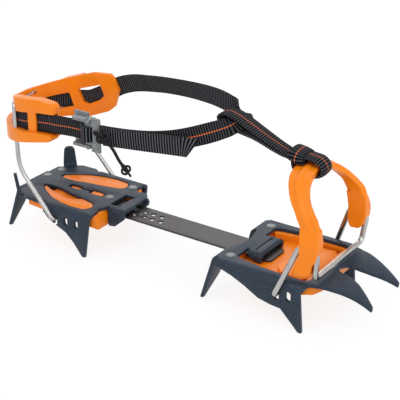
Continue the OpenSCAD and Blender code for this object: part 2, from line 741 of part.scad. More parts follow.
module spring_rivet() {
    translate([-117, 0, 0]) {
        translate([0, 0, -rivet_sink]) cylinder(h = rivet_sink, d1 = rivet_d, d2 = rivet_head_d);
        translate([0, 0, -sheet - spring_t]) cylinder(h = sheet + spring_t - rivet_sink, d = rivet_d);
        translate([0, 0, -sheet - spring_t - 1]) cylinder(h = 1, d = rivet_head_d - 1);
    }
}

module heel_rivets() color(bright_steel) {
    heel_plate_rivets();
    spring_rivet();
}

// Snow plate under the heel frame with a channel for the sliding bar
module heel_antiball_plate() color(orange) union() {
    heel_tray();
    plan_prism(-bar_top + run_gap, -sheet) translate([-165, -bar_w / 2 - 1.2]) square([41, bar_w + 2.4]);
    plan_prism(-sheet - 0.5, -0.8) translate([-134.8, -2.8]) square([10.6, 5.6]);
    plan_prism(-sheet - 0.5, -1.6) translate([-156.6, -2.6]) square([9, 5.2]);
}

module heel_tray() difference() {
    union() {
        intersection() {
            plan_prism(-20, -sheet) polygon([
                [-191, -9], [-186, -10], [-186, -18], [-176, -31], [-150, -33], [-128, -35.4],
                [-112, -33.4], [-104, -27], [-103, -14.4],
                [-103, 14.4], [-104, 27], [-112, 33.4], [-128, 35.4], [-150, 33], [-176, 31], [-186, 18],
                [-186, 10], [-191, 9]]);
            side_prism(60) polygon([
                [-191, 1], [-107, 1], [-107, -sheet - 0.6], [-103.4, -11], [-104, -15], [-107, -14.4],
                [-114, -tray_bottom], [-191, -tray_bottom]]);
        }
        plan_prism(-sheet - eps, -0.5) {
            polygon([
                [-174.4, 10.4], [-170, 8.8], [-160, 9.2], [-148, 12.2], [-134, 14.4], [-121, 17.2],
                [-118.4, 19.4], [-117.4, 22.6], [-118.4, 26.6], [-121.4, 29.2], [-132, 30.2], [-144, 28.8],
                [-157, 24.8], [-168, 18.2], [-174.2, 13.2]]);
            polygon([
                [-148, -19.6], [-140, -19.4], [-133, -14.6], [-121, -17.2], [-118.4, -19.4], [-117.4, -22.6],
                [-118.4, -26.6], [-121.4, -29.2], [-132, -30.2], [-144, -28.8], [-157, -24.8], [-168, -18.2],
                [-174.2, -13.2], [-173, -11.4], [-160, -17.4]]);
        }
    }
    plan_prism(-tray_top - run_gap, -sheet + eps) translate([-190, -bar_w / 2 - 0.6])
        square([100, bar_w + 1.2]);
    heel_plate_rivets();
    latch_pivot_pin();
    translate([-106, -40, -20]) cube([10, 26 - run_gap, 30]);
    translate([-106, 14 + run_gap, -20]) cube([10, 26, 30]);
}

module latch_pivot_pin() color(bright_steel)
    translate([latch_pivot_x, 15, latch_pivot_z]) rotate([90, 0, 0]) cylinder(h = 30, d = latch_pivot_d);

// Latch lever with its pin in one hole of the bar
module adjuster_latch() color(bright_steel) difference() {
    union() {
        translate([latch_pivot_x, latch_half_w, latch_pivot_z])
            rotate([90, 0, 0]) cylinder(h = 2 * latch_half_w, d = latch_barrel_d);
        translate([latch_pivot_x, -latch_half_w, latch_pivot_z - latch_t / 2])
            cube([slot_front_x - 1 - latch_pivot_x, 2 * latch_half_w, latch_t]);
        translate([slot_front_x - 1 - latch_t, -latch_half_w, latch_pivot_z])
            cube([latch_t, 2 * latch_half_w, -latch_pivot_z - 0.7]);
        translate([latch_pin_x, -bar_row_y, -bar_bottom + 0.3])
            cylinder(h = bar_bottom - 0.3 + latch_pivot_z, d = bar_hole_d - 1.2);
    }
    translate([latch_pivot_x, 20, latch_pivot_z])
        rotate([90, 0, 0]) cylinder(h = 40, d = latch_pivot_d + 2 * pivot_gap);
}

module latch_spring() color(bright_steel) difference() {
    translate([-121, -6, -sheet - spring_t]) cube([11, 12, spring_t]);
    spring_rivet();
}

// Plan of the cup, a U round the heel
module cup_u_2d(r) {
    translate([cup_x, 0]) circle(r, $fn = 96);
    translate([cup_x, -r]) square([60, 2 * r]);
}

module cup_band_2d(r_in, r_out) {
    difference() {
        cup_u_2d(r_out);
        cup_u_2d(r_in);
    }
}

// Layer of the cup on one side, between two radii, cut to a side view
module cup_side(side, r_in, r_out) {
    intersection() {
        plan_prism(30, 110) cup_band_2d(r_in, r_out);
        half_prism(side) children();
    }
}

module heel_cup() color(orange) union() {
    difference() {
        union() {
            cup_side(1, cup_r, cup_out) polygon([
                [-204, 46], [-185, 46], [-164, 47.6], [-142, 57], [-135.6, 62.5], [-131, 77], [-136.4, 87],
                [-139.6, 89.3], [-156.7, 87.3], [-180, 79.3], [-197, 74.6], [-204, 74.6]]);
            cup_side(-1, cup_r, cup_out) polygon([
                [-204, 46], [-184, 47.4], [-160, 52.2], [-139.5, 57], [-135.5, 61], [-135, 84.5],
                [-137.5, 87], [-150, 88], [-176, 84.6], [-190, 79], [-197, 74.6], [-204, 74.6]]);
        }
        half_prism(1) polygon([
            [-195, 63.6], [-179.3, 66.9], [-176, 55.4], [-187, 52.4], [-195, 52]]);
        half_prism(1) polygon([
            [-172.6, 69.6], [-168.8, 71.6], [-149.8, 78.2], [-145.9, 69.7], [-150.4, 65.1], [-163, 58.8],
            [-168.2, 59.9]]);
        translate([-206, -4, 69.3]) cube([14, 12, 2.6]);
    }
    intersection() {
        cup_side(-1, cup_r, cup_out + 4.3) polygon([
            [-192, 70.6], [-182, 72.2], [-165, 75.1], [-152, 77.2], [-135.5, 79], [-135, 84.5],
            [-137.5, 87], [-150, 88], [-176, 84.6], [-190, 79], [-192, 78.2]]);
        plan_prism(30, 110) polygon([
            [-130, 1], [-130, -60], [-172, -60], [-174, -42], [-178, -37.6], [-186, -30.5], [-191, -24],
            [-196, -16], [-196, 1]]);
    }
    cup_side(-1, cup_r, cup_out + 2.5) polygon([
        [-204, 46], [-184, 47.4], [-160, 52.2], [-139.5, 57], [-135.5, 61], [-139, 62.2], [-152, 61],
        [-165, 59], [-182, 56.1], [-199, 53], [-204, 53]]);
    cup_side(-1, cup_out + 2.3, cup_out + 7.5) polygon([
        [-204, 46], [-184, 47.4], [-160, 52.2], [-139.5, 57], [-135.5, 61], [-139, 62.4], [-152, 61.6],
        [-165, 60], [-176, 59.6], [-204, 58]]);
    cup_side(1, cup_r, cup_out + 4.5) polygon([
        [-204, 46], [-185, 46], [-164, 47.6], [-152, 52.7], [-157, 56], [-166, 54], [-182, 52.1],
        [-199, 53], [-204, 53]]);
    cup_side(1, cup_r, cup_out + 7) polygon([[-186, 75.2], [-173, 76.4], [-172, 82], [-186, 77.6]]);
    translate([-162, -cup_out - 4.3, 57]) cube([8, 1.7, 20]);
}

module heel_bail_wire() color(bright_steel) wire(heel_wire_path, heel_wire_d, [0.3, 0.5, 0.81]);

module heel_strap() color(web_black) union() {
    for (s = [-1, 1]) cup_side(s, cup_out + strap_gap, cup_out + strap_gap + web_t)
        polygon(line_band(s > 0 ? far_strap_line : near_strap_line, web_w / 2));
}

module strap_far_rear() color(web_black)
    ribbon(far_rear_pts, strap_lead(far_rear_pts, far_strap_line), mid(far_front_pts[1]));

module strap_far_front() color(web_black)
    ribbon(far_front_pts, mid(far_rear_pts[2]), mid(fold_pts[1]));

module strap_fold() color(web_black) ribbon(fold_pts, mid(far_front_pts[8]), mid(near_run_pts[1]));

module strap_near_run() color(web_black) ribbon(near_run_pts, mid(fold_pts[3]), mid(near_run_pts[8]));

module strap_near_rear() color(web_black)
    ribbon(near_rear_pts, strap_lead(near_rear_pts, near_strap_line), mid(near_rear_pts[3]));

module strap_tail() color(web_black) ribbon(tail_pts, mid(tail_pts[0]), mid(tail_pts[4]));

// Buckle plate behind the webbing with two arms round its edges
module buckle_base() color(buckle_grey) difference() {
    union() {
        translate([buckle_rear_x, buckle_back_y, buckle_low])
            cube([13.5, buckle_t, buckle_high - buckle_low]);
        for (z = [buckle_high - 5, buckle_low + 2.4])
            translate([buckle_rear_x + 3, buckle_pin_y - arm_wall, z])
                cube([16.4, buckle_back_y + buckle_t - buckle_pin_y + arm_wall, 2.4]);
    }
    translate([buckle_pin_x, buckle_pin_y, 0]) cylinder(h = 100, d = buckle_pin_d + 2 * pivot_gap);
}

// Tilting frame that grips the webbing, with its two pivot pins
module buckle_frame() color(buckle_grey) {
    translate([0, buckle_pin_y, 0]) side_prism(buckle_t / 2 + 0.3) difference() {
        union() {
            translate([buckle_pin_x - 1.6, buckle_low + 5.2]) square([8, buckle_high - buckle_low - 10.6]);
            translate([buckle_pin_x + 4.4, buckle_low + 0.6]) square([7.6, buckle_high - buckle_low - 1.2]);
        }
        translate([buckle_pin_x + 1.6, buckle_low + 7.6]) square([4, buckle_high - buckle_low - 15.4]);
    }
    translate([buckle_pin_x, buckle_pin_y, buckle_low + 1.2])
        cylinder(h = buckle_high - buckle_low - 2.4, d = buckle_pin_d);
}

module pull_cord() color(web_black) tube(cord_pts, cord_d, 8, [0, 1, 0]);

// Moulded end on the pull cord, with a finger hole
module cord_end() color(web_black) translate(cord_pts[len(cord_pts) - 1] + [0.14, 0, -0.14])
    rotate([0, 135, 3]) difference() {
        union() {
            cylinder(h = 3, d1 = 3.6, d2 = 5.6);
            translate([0, 0, 3]) cylinder(h = 5, d = 5.6);
            translate([0, 0, 8]) cylinder(h = 3.6, d1 = 5.6, d2 = 3);
        }
        translate([0, 5, 4.6]) rotate([90, 0, 0]) cylinder(h = 10, d = 2.6);
    }

front_frame();
front_antiball_plate();
front_rivets();
toe_bail_wire();
toe_cage();
toe_loop();
link_bar();
heel_frame();
heel_antiball_plate();
heel_rivets();
latch_pivot_pin();
adjuster_latch();
latch_spring();
heel_bail_wire();
heel_cup();
heel_strap();
strap_far_rear();
strap_far_front();
strap_fold();
strap_near_run();
strap_near_rear();
strap_tail();
buckle_base();
buckle_frame();
pull_cord();
cord_end();
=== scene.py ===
import math

import bmesh
import bpy
from bpy.props import FloatProperty, FloatVectorProperty, IntProperty, PointerProperty
from bpy.types import Operator, Panel, PropertyGroup
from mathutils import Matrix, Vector


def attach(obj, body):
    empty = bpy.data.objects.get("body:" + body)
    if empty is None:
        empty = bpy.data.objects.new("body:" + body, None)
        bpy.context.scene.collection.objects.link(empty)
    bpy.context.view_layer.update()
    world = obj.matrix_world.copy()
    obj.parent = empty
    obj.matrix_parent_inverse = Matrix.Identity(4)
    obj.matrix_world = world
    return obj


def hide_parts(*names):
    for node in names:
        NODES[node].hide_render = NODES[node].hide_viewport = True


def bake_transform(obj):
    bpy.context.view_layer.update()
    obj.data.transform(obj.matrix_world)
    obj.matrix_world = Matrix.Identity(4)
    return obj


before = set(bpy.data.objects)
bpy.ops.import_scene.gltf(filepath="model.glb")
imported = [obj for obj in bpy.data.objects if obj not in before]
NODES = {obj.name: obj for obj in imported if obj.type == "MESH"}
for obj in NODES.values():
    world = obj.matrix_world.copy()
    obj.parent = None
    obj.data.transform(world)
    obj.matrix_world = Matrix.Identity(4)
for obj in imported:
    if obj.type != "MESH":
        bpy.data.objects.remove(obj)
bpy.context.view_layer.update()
MM = 0.001

bl_info = {
    "name": "Crampon dressing",
    "version": (1, 0, 0),
    "blender": (4, 5, 0),
    "location": "View3D > Sidebar > Crampon",
    "description": "Dresses the crampon's solids: paint, plastic, bails, webbing, cord and stage",
    "category": "Object",
}

# Heel cup: place of its upright axis along the foot, radius of the webbing on it and where that leaves it
CUP_X = -163.0
CUP_STRAP_R = 37.7
CUP_STRAP_END = -142.0
# Height of the webbing's middle along each side of the cup
NEAR_STRAP_LINE = [
    (-210.0, 61.0), (-199.0, 61.0), (-182.0, 64.0), (-165.0, 67.0), (-152.0, 69.1), (-142.0, 70.1),
]
FAR_STRAP_LINE = [
    (-210.0, 61.0), (-199.0, 61.0), (-182.0, 60.0), (-164.0, 62.0), (-152.0, 67.6), (-142.0, 74.0),
]


def cup_row(x, y):
    """Webbing row at a place on the cup, its width upright."""
    line = NEAR_STRAP_LINE if y < 0.0 else FAR_STRAP_LINE
    for (x0, z0), (x1, z1) in zip(line, line[1:]):
        if x0 <= x <= x1:
            return (x, y, z0 + (z1 - z0) * (x - x0) / (x1 - x0), 0.0, 0.0, 1.0)
    raise ValueError("the webbing leaves the cup")


# Rows of the webbing: middle point and direction of its width, in millimetres
HEEL_ROWS = (
    [cup_row(x, -CUP_STRAP_R) for x in (CUP_STRAP_END, -149.0, -156.0)]
    + [cup_row(CUP_X - CUP_STRAP_R * math.sin(a), -CUP_STRAP_R * math.cos(a))
       for a in [math.pi * k / 18 for k in range(19)]]
    + [cup_row(x, CUP_STRAP_R) for x in (-156.0, -149.0, CUP_STRAP_END)]
)
FAR_REAR_ROWS = [
    (-142.0, 37.7, 74.0, -0.539, 0.0, 0.842),
    (-131.5, 38.5, 80.2, -0.42, -0.03, 0.9),
    (-120.0, 38.4, 84.4, -0.25, -0.13, 0.97),
    (-100.0, 36.8, 88.4, -0.1, -0.25, 1.0),
]
FAR_FRONT_ROWS = [
    (-100.0, 36.8, 88.4, -0.1, -0.25, 1.0),
    (-88.0, 35.2, 90.4, -0.06, -0.28, 1.0),
    (-75.0, 33.0, 92.2, -0.02, -0.28, 1.0),
    (-60.0, 29.6, 94.2, 0.0, -0.25, 1.0),
    (-45.0, 25.4, 96.0, 0.0, -0.17, 1.0),
    (-32.0, 21.0, 97.4, -0.05, -0.08, 1.0),
    (-20.0, 16.6, 98.0, -0.2, 0.05, 0.97),
    (-10.0, 13.4, 97.4, -0.5, 0.1, 0.85),
    (-2.0, 11.2, 95.8, -0.8, 0.1, 0.58),
    (3.0, 8.4, 93.8, -0.92, 0.0, 0.38),
]
FOLD_ROWS = [
    (3.0, 8.4, 93.8, -0.92, 0.0, 0.38),
    (4.4, 4.4, 92.8, -0.94, 0.0, 0.34),
    (4.8, 0.0, 92.3, -0.94, 0.0, 0.34),
    (4.2, -4.4, 91.8, -0.94, 0.0, 0.34),
    (2.4, -8.4, 90.6, -0.9, 0.08, 0.42),
]
NEAR_RUN_ROWS = [
    (2.4, -8.4, 90.6, -0.9, 0.08, 0.42),
    (-2.0, -12.0, 88.6, -0.76, 0.2, 0.6),
    (-9.0, -17.0, 86.0, -0.5, 0.2, 0.84),
    (-18.0, -22.6, 83.0, -0.25, 0.12, 0.96),
    (-29.0, -28.0, 80.0, -0.1, 0.05, 1.0),
    (-45.0, -33.2, 77.0, 0.0, 0.0, 1.0),
    (-65.0, -36.6, 74.6, 0.0, 0.0, 1.0),
    (-80.0, -37.8, 73.4, 0.0, 0.0, 1.0),
    (-93.0, -38.3, 72.6, 0.0, 0.0, 1.0),
]
NEAR_REAR_ROWS = [
    (-142.0, -37.7, 70.1, -0.1, 0.0, 0.995),
    (-134.0, -38.5, 70.9, -0.08, 0.0, 1.0),
    (-125.0, -38.3, 71.7, -0.05, 0.0, 1.0),
    (-93.4, -38.3, 72.6, 0.0, 0.0, 1.0),
]
TAIL_ROWS = [
    (-88.6, -40.9, 73.0, 0.0, 0.0, 1.0),
    (-75.0, -40.2, 74.2, 0.0, 0.0, 1.0),
    (-55.0, -38.6, 75.8, 0.0, 0.0, 1.0),
    (-35.0, -36.6, 77.4, 0.0, 0.0, 1.0),
    (-12.0, -34.3, 79.1, 0.0, 0.0, 1.0),
]
# Sewn end of the near strap round the buckle's pin, with the share of its width that the frame's slot leaves
SEWN_ROWS = [
    (-109.5, -39.7, 72.1, 0.0, 0.0, 1.0, 1.0),
    (-107.2, -40.2, 72.2, 0.0, 0.0, 1.0, 1.0),
    (-105.4, -41.95, 72.3, 0.0, 0.0, 1.0, 1.0),
    (-104.4, -44.1, 72.4, 0.0, 0.0, 1.0, 0.97),
    (-101.9, -45.2, 72.5, 0.0, 0.0, 1.0, 0.82),
    (-99.6, -44.2, 72.5, 0.0, 0.0, 1.0, 0.81),
    (-98.85, -42.2, 72.5, 0.0, 0.0, 1.0, 0.81),
    (-99.4, -40.6, 72.5, 0.0, 0.0, 1.0, 0.81),
    (-100.6, -39.95, 72.5, 0.0, 0.0, 1.0, 0.81),
]
# Toe strap in the centre plane: along the foot, height and share of its width left where it is drawn together
TOE_STRAP_LINE = [
    (62.0, 77.0, 0.72), (56.0, 77.2, 0.72), (48.0, 78.6, 0.78), (40.0, 81.2, 0.85), (26.0, 87.0, 0.94),
    (14.0, 92.4, 1.0), (4.0, 96.6, 1.0), (-3.0, 98.0, 1.0), (-7.6, 97.0, 1.0), (-9.4, 94.6, 1.0),
    (-8.6, 92.0, 1.0), (-5.0, 90.2, 1.0), (2.0, 88.2, 1.0), (12.0, 86.2, 1.0), (19.0, 85.0, 0.96),
    (26.0, 83.0, 0.92), (36.0, 79.4, 0.86), (44.0, 77.0, 0.8), (52.0, 75.9, 0.74),
]
# Webbing wound round the top of the cage, in the centre plane
KNOT_RING = [
    (55.0, 78.2), (60.0, 79.2), (66.0, 79.1), (72.6, 77.8), (76.2, 73.6), (75.4, 69.0), (70.0, 66.6),
    (61.0, 66.4), (55.0, 67.8), (52.6, 72.0), (52.8, 76.0),
]
# Band of the knot that closes round the toe strap: across the foot and height
KNOT_BAND = [
    (0.0, 75.4), (-5.0, 75.6), (-7.9, 76.4), (-8.7, 78.3), (-7.2, 80.8), (-2.8, 82.2), (2.8, 82.2),
    (7.2, 80.8), (8.7, 78.3), (7.9, 76.4), (5.0, 75.6),
]
# Pull cord from the buckle's bar to its end
CORD_ROUTE = [
    (-92.6, -44.4, 75.2), (-90.0, -44.9, 75.0), (-86.4, -45.0, 74.0), (-82.6, -44.9, 72.0),
    (-79.0, -44.5, 69.0), (-76.0, -44.0, 65.4), (-73.8, -43.6, 61.6), (-71.8, -43.4, 58.4),
    (-69.6, -43.2, 55.8),
]
# Corners of the bail wires on one side: point and bend radius
TOE_BAIL_CORNERS = [
    (63.5, 36.4, -11.0, 0.0), (63.5, 45.2, -11.0, 3.0), (78.2, 37.6, 27.6, 4.5),
    (92.4, 37.2, 27.0, 4.5), (90.0, 34.8, 5.5, 5.0),
]
HEEL_BAIL_CORNERS = [
    (-141.5, 34.4, -10.0, 0.0), (-141.5, 42.0, -10.0, 3.0), (-174.5, 41.0, 27.0, 30.0),
]
# Corners where the heel wire is moulded into the cup, from the far side to the near side
CUP_BAIL_CORNERS = [
    (-178.4, 37.6, 72.0, 3.0), (-198.5, 12.2, 72.0, 34.4), (-198.5, -12.2, 72.0, 34.4),
    (-178.4, -37.6, 78.5, 3.0),
]
FRONT_RIVETS = [(17.0, 28.5), (17.0, -28.5)]
HEEL_RIVETS = [(-184.0, 20.5), (-187.0, 5.4), (-112.6, 25.0), (-117.0, 0.0)]

# Camera recovered from the photograph: place and target in millimetres, lens and sensor
CAMERA_SPOT = (427.6, -673.6, 408.2)
CAMERA_TARGET = (0.0, -43.22, 45.39)
CAMERA_LENS = 107.1
CAMERA_SENSOR = 36.0
CAMERA_NEAR = 0.01
# Area lamps: name, place and size in metres, power in watts
LAMPS = [
    ("key", (0.15, -1.1, 1.25), 1.5, 10.0),
    ("side", (1.25, -0.1, 0.8), 1.2, 5.8),
    ("back", (-0.7, 0.9, 1.0), 1.2, 5.4),
]
SKY_LIGHT = (0.58, 0.588, 0.602)
# Floor, in metres: half its side, and its height just below the tips of the points
FLOOR_HALF = 4.0
FLOOR_Z = -0.0372

# Distance between the samples of the webbing, and of the cord
WEB_STEP = 1.3
CORD_STEP = 1.0
# Section of the webbing: places over its face, then places round its edge, as shares of half its size
WEB_FACE = (-0.94, -0.62, -0.3, 0.0, 0.3, 0.62, 0.94)
WEB_EDGE = ((0.985, 0.55), (1.0, 0.0), (0.985, -0.55))
# The back of the webbing lies this far along in its cloth coordinates, so that the thread shows on one face
# and the back takes its own strength of painted highlight
BACK_SHIFT = 2.0
# Slanted cut at the end of the tail, and the samples over which it comes in
TAIL_CUT = 6.0
CUT_SAMPLES = 8.0
# Points where a band passes from one body to the next
FAR_BEND_END = (-112.0, 37.6, 86.0)
NEAR_BEND_END = (-124.0, -38.3, 73.0)
TOE_BEND_START = (46.0, 0.0, 78.0)
TOE_BEND_END = (14.0, 0.0, 89.0)
# Toe strap's knot: the wrap's place across the foot, the band's place along it and the lean of its width
WRAP_Y = 0.6
BAND_X = 56.4
BAND_LEAN = (0.95, 0.12, -0.26)
# Widths of the wrap and the band in metres, and how far their faces bulge
WRAP_WIDTH = 0.014
BAND_WIDTH = 0.0115
KNOT_CROWN = 0.7

# Cord's knot at the buckle: middle, sizes along, out and up, and its share of the cord's diameter
HITCH_MIDDLE = (-85.8, -45.7, 74.6)
HITCH_SIZE = (2.5, 1.2, 1.5)
HITCH_SHARE = 0.9
# Cord's end knot: directions, its middle past the cord, sizes along, out and across, share of the diameter
END_ALONG = (0.706, 0.037, -0.707)
END_ACROSS = (0.706, 0.0, 0.708)
END_REACH = 4.4
END_SIZE = (1.55, 0.9, 1.5)
END_SHARE = 0.74
# Loose tip through the end knot: distance between its points and their number
TIP_STEP = 0.5
TIP_POINTS = 24
# Parts of one turn of a knot, and facets round the cord and its knots
KNOT_PARTS = 72
CORD_SIDES = 16
KNOT_SIDES = 14

# Eased edges of the solids, in metres
FRAME_EDGE = 0.0005
CUP_EDGE = 0.0008
PLATE_EDGE = 0.0006
BAR_EDGE = 0.00015
LATCH_EDGE = 0.0002
SPRING_EDGE = 0.0001
BUCKLE_EDGE = 0.0004
# Cage: grid of its even skin in metres, and the passes that ease it
CAGE_GRID = 0.00042
CAGE_PASSES = 30
# Limits in the solids' modifiers: gap that is welded, and angles in degrees
WELD_GAP = 0.00001
FLAT_ANGLE = 0.6
EASE_ANGLE = 40.0
SPLIT_ANGLE = 32.0
# Angle of one part of a wire's bend, in degrees
BEND_PART = 6.0
# Facets of a rivet's dome: round it and up it
HEAD_SIDES = 28
HEAD_RINGS = 14


class CramponSettings(PropertyGroup):
    """Sizes and colours that a user would change."""

    paint: FloatVectorProperty(
        name="Frame paint", description="Colour of the painted steel frames", subtype="COLOR", size=3,
        min=0.0, max=1.0, default=(0.0265, 0.0385, 0.0565))
    plastic: FloatVectorProperty(
        name="Orange plastic", description="Colour of the moulded pieces", subtype="COLOR", size=3,
        min=0.0, max=1.0, default=(0.98, 0.235, 0.006))
    yarn: FloatVectorProperty(
        name="Webbing yarn", description="Colour of the webbing's ribs", subtype="COLOR", size=3,
        min=0.0, max=1.0, default=(0.022, 0.0225, 0.0255))
    stripe: FloatVectorProperty(
        name="Webbing stripe", description="Colour of the thread along the webbing", subtype="COLOR", size=3,
        min=0.0, max=1.0, default=(0.76, 0.175, 0.065))
    web_width: FloatProperty(
        name="Webbing width", description="Width of the flat webbing", subtype="DISTANCE", unit="LENGTH",
        default=0.015, min=0.014, max=0.0155)
    web_thickness: FloatProperty(
        name="Webbing thickness", description="Thickness of the flat webbing",
        subtype="DISTANCE", unit="LENGTH", default=0.0016, min=0.0012, max=0.0017)
    toe_wire: FloatProperty(
        name="Toe bail wire", description="Diameter of the toe bail's wire",
        subtype="DISTANCE", unit="LENGTH", default=0.0042, min=0.0038, max=0.0044)
    heel_wire: FloatProperty(
        name="Heel bail wire", description="Diameter of the heel bail's wire",
        subtype="DISTANCE", unit="LENGTH", default=0.0036, min=0.0032, max=0.0038)
    cord: FloatProperty(
        name="Pull cord", description="Diameter of the pull cord", subtype="DISTANCE", unit="LENGTH",
        default=0.0024, min=0.002, max=0.0028)
    rivet_head: FloatProperty(
        name="Rivet head", description="Diameter of a rivet's domed head", subtype="DISTANCE", unit="LENGTH",
        default=0.0066, min=0.005, max=0.007)
    rivet_rise: FloatProperty(
        name="Rivet rise", description="Height of a rivet's dome above the plate", subtype="DISTANCE",
        unit="LENGTH", default=0.0007, min=0.0002, max=0.0012)
    wire_sides: IntProperty(
        name="Wire sides", description="Facets round a wire", default=24, min=12, max=48)


def settings():
    """Values set in the panel."""
    return bpy.context.scene.crampon_settings


# Node tree building


class Tree:
    """Short hand for adding and joining nodes."""

    def __init__(self, tree):
        self.tree = tree

    def add(self, kind, **values):
        node = self.tree.nodes.new(kind)
        for key, value in values.items():
            setattr(node, key, value)
        return node

    def join(self, a, b):
        self.tree.links.new(a, b)

    def math(self, operation, a, b=None, c=None):
        node = self.add("ShaderNodeMath", operation=operation)
        for socket, value in zip(node.inputs, (a, b, c)):
            if value is None:
                continue
            if isinstance(value, (int, float)):
                socket.default_value = value
            else:
                self.join(value, socket)
        return node.outputs[0]

    def mix(self, factor, a, b):
        node = self.add("ShaderNodeMix", data_type="RGBA")
        for socket, value in ((node.inputs[0], factor), (node.inputs[6], a), (node.inputs[7], b)):
            if isinstance(value, (int, float)):
                socket.default_value = value
            elif isinstance(value, (tuple, list)):
                socket.default_value = (*value[:3], 1.0)
            else:
                self.join(value, socket)
        return node.outputs[2]

    def ramp(self, factor, low, high):
        """Grey that runs from one stop to another, each a place and a grey."""
        node = self.add("ShaderNodeValToRGB")
        for element, (place, grey) in zip(node.color_ramp.elements, (low, high)):
            element.position = place
            element.color = (grey, grey, grey, 1.0)
        self.join(factor, node.inputs[0])
        return node.outputs[0]

    def ridges(self, turns):
        """Soft ridges from 0 to 1, one for each whole turn."""
        wave = self.math("SINE", self.math("MULTIPLY", turns, math.tau))
        return self.math("MULTIPLY_ADD", wave, 0.5, 0.5)

    def cloth_place(self):
        """Places across or round a woven piece, and along it in metres."""
        parts = self.add("ShaderNodeSeparateXYZ")
        self.join(self.add("ShaderNodeUVMap", uv_map="cloth").outputs["UV"], parts.inputs[0])
        return parts.outputs[0], parts.outputs[1]

    def noise(self, vector, scale, detail=3.0, roughness=0.55):
        node = self.add("ShaderNodeTexNoise")
        node.inputs["Scale"].default_value = scale
        node.inputs["Detail"].default_value = detail
        node.inputs["Roughness"].default_value = roughness
        self.join(vector, node.inputs["Vector"])
        return node.outputs["Fac"]

    def stretched(self, vector, scale):
        node = self.add("ShaderNodeMapping")
        node.inputs["Scale"].default_value = scale
        self.join(vector, node.inputs["Vector"])
        return node.outputs["Vector"]

    def bump(self, height, distance, strength):
        node = self.add("ShaderNodeBump")
        node.inputs["Distance"].default_value = distance
        node.inputs["Strength"].default_value = strength
        self.join(height, node.inputs["Height"])
        return node.outputs["Normal"]


def shade(name):
    """A new material: its tree, its surface shader and its object coordinates."""
    material = bpy.data.materials.new(name)
    material.use_nodes = True
    tree = Tree(material.node_tree)
    surface = material.node_tree.nodes["Principled BSDF"]
    place = tree.add("ShaderNodeTexCoord").outputs["Object"]
    return material, tree, surface, place


def tint(colour, factor):
    """A colour made darker or lighter."""
    return tuple(min(1.0, c * factor) for c in colour[:3])


def painted_steel():
    """Satin blue-grey paint with a fine grain and faint rubbed patches."""
    material, tree, surface, place = shade("painted_steel")
    colour = settings().paint
    cloud = tree.noise(place, 60.0, 4.0)
    grain = tree.noise(place, 2600.0, 2.0)
    rubbed = tree.ramp(tree.noise(place, 190.0, 5.0), (0.56, 0.0), (0.78, 1.0))
    specks = tree.ramp(tree.noise(place, 850.0, 3.0), (0.46, 0.0), (0.66, 1.0))
    base = tree.mix(cloud, tint(colour, 0.84), tint(colour, 1.1))
    base = tree.mix(specks, base, tint(colour, 1.5))
    base = tree.mix(tree.math("MULTIPLY", rubbed, 0.22), base, tint(colour, 1.9))
    tree.join(base, surface.inputs["Base Color"])
    tree.join(tree.math("MULTIPLY_ADD", cloud, 0.16, 0.3), surface.inputs["Roughness"])
    surface.inputs["Specular IOR Level"].default_value = 0.15
    tree.join(tree.bump(grain, 0.00006, 0.35), surface.inputs["Normal"])
    return material


def moulded_orange():
    """Moulded plastic with a soft sheen, a faint flow in its colour and painted shade of deep red in its
    hollows.
    """
    material, tree, surface, place = shade("moulded_orange")
    colour = settings().plastic
    cloud = tree.noise(place, 45.0, 3.0)
    grain = tree.noise(place, 1900.0, 2.0)
    base = tree.mix(cloud, tint(colour, 0.93), (colour[0], colour[1] * 1.14, colour[2] * 1.5))
    # Painted shade: the colour turns deep red in the hollows that ambient occlusion finds, where shadow
    # falls.
    open_sky = tree.add("ShaderNodeAmbientOcclusion")
    open_sky.inputs["Distance"].default_value = 0.007
    painted_hollow_shade = tree.ramp(open_sky.outputs["AO"], (0.3, 0.8), (0.72, 0.0))
    tree.join(tree.mix(painted_hollow_shade, base, (colour[0] * 0.42, colour[1] * 0.16, 0.0)), surface.inputs["Base Color"])
    tree.join(tree.math("MULTIPLY_ADD", grain, 0.1, 0.27), surface.inputs["Roughness"])
    surface.inputs["Specular IOR Level"].default_value = 0.24
    surface.inputs["Subsurface Weight"].default_value = 0.08
    surface.inputs["Subsurface Radius"].default_value = (0.004, 0.0015, 0.0006)
    surface.inputs["Subsurface Scale"].default_value = 0.5
    tree.join(tree.bump(grain, 0.00005, 0.3), surface.inputs["Normal"])
    return material


def drawn_steel():
    """Drawn stainless wire with fine draw marks."""
    material, tree, surface, place = shade("drawn_steel")
    marks = tree.noise(tree.stretched(place, (500.0, 500.0, 2500.0)), 1.0, 3.0)
    cloud = tree.noise(place, 110.0, 3.0)
    tree.join(tree.mix(cloud, (0.36, 0.352, 0.345), (0.54, 0.53, 0.522)), surface.inputs["Base Color"])
    tree.join(tree.math("MULTIPLY_ADD", marks, 0.16, 0.16), surface.inputs["Roughness"])
    surface.inputs["Metallic"].default_value = 1.0
    tree.join(tree.bump(marks, 0.00003, 0.3), surface.inputs["Normal"])
    return material


def rivet_steel():
    """Dull rivet heads with a pressed, slightly pitted skin."""
    material, tree, surface, place = shade("rivet_steel")
    pits = tree.noise(place, 1700.0, 3.0)
    tree.join(tree.mix(pits, (0.15, 0.155, 0.16), (0.3, 0.305, 0.31)), surface.inputs["Base Color"])
    tree.join(tree.math("MULTIPLY_ADD", pits, 0.2, 0.4), surface.inputs["Roughness"])
    surface.inputs["Metallic"].default_value = 1.0
    tree.join(tree.bump(pits, 0.00006, 0.4), surface.inputs["Normal"])
    return material


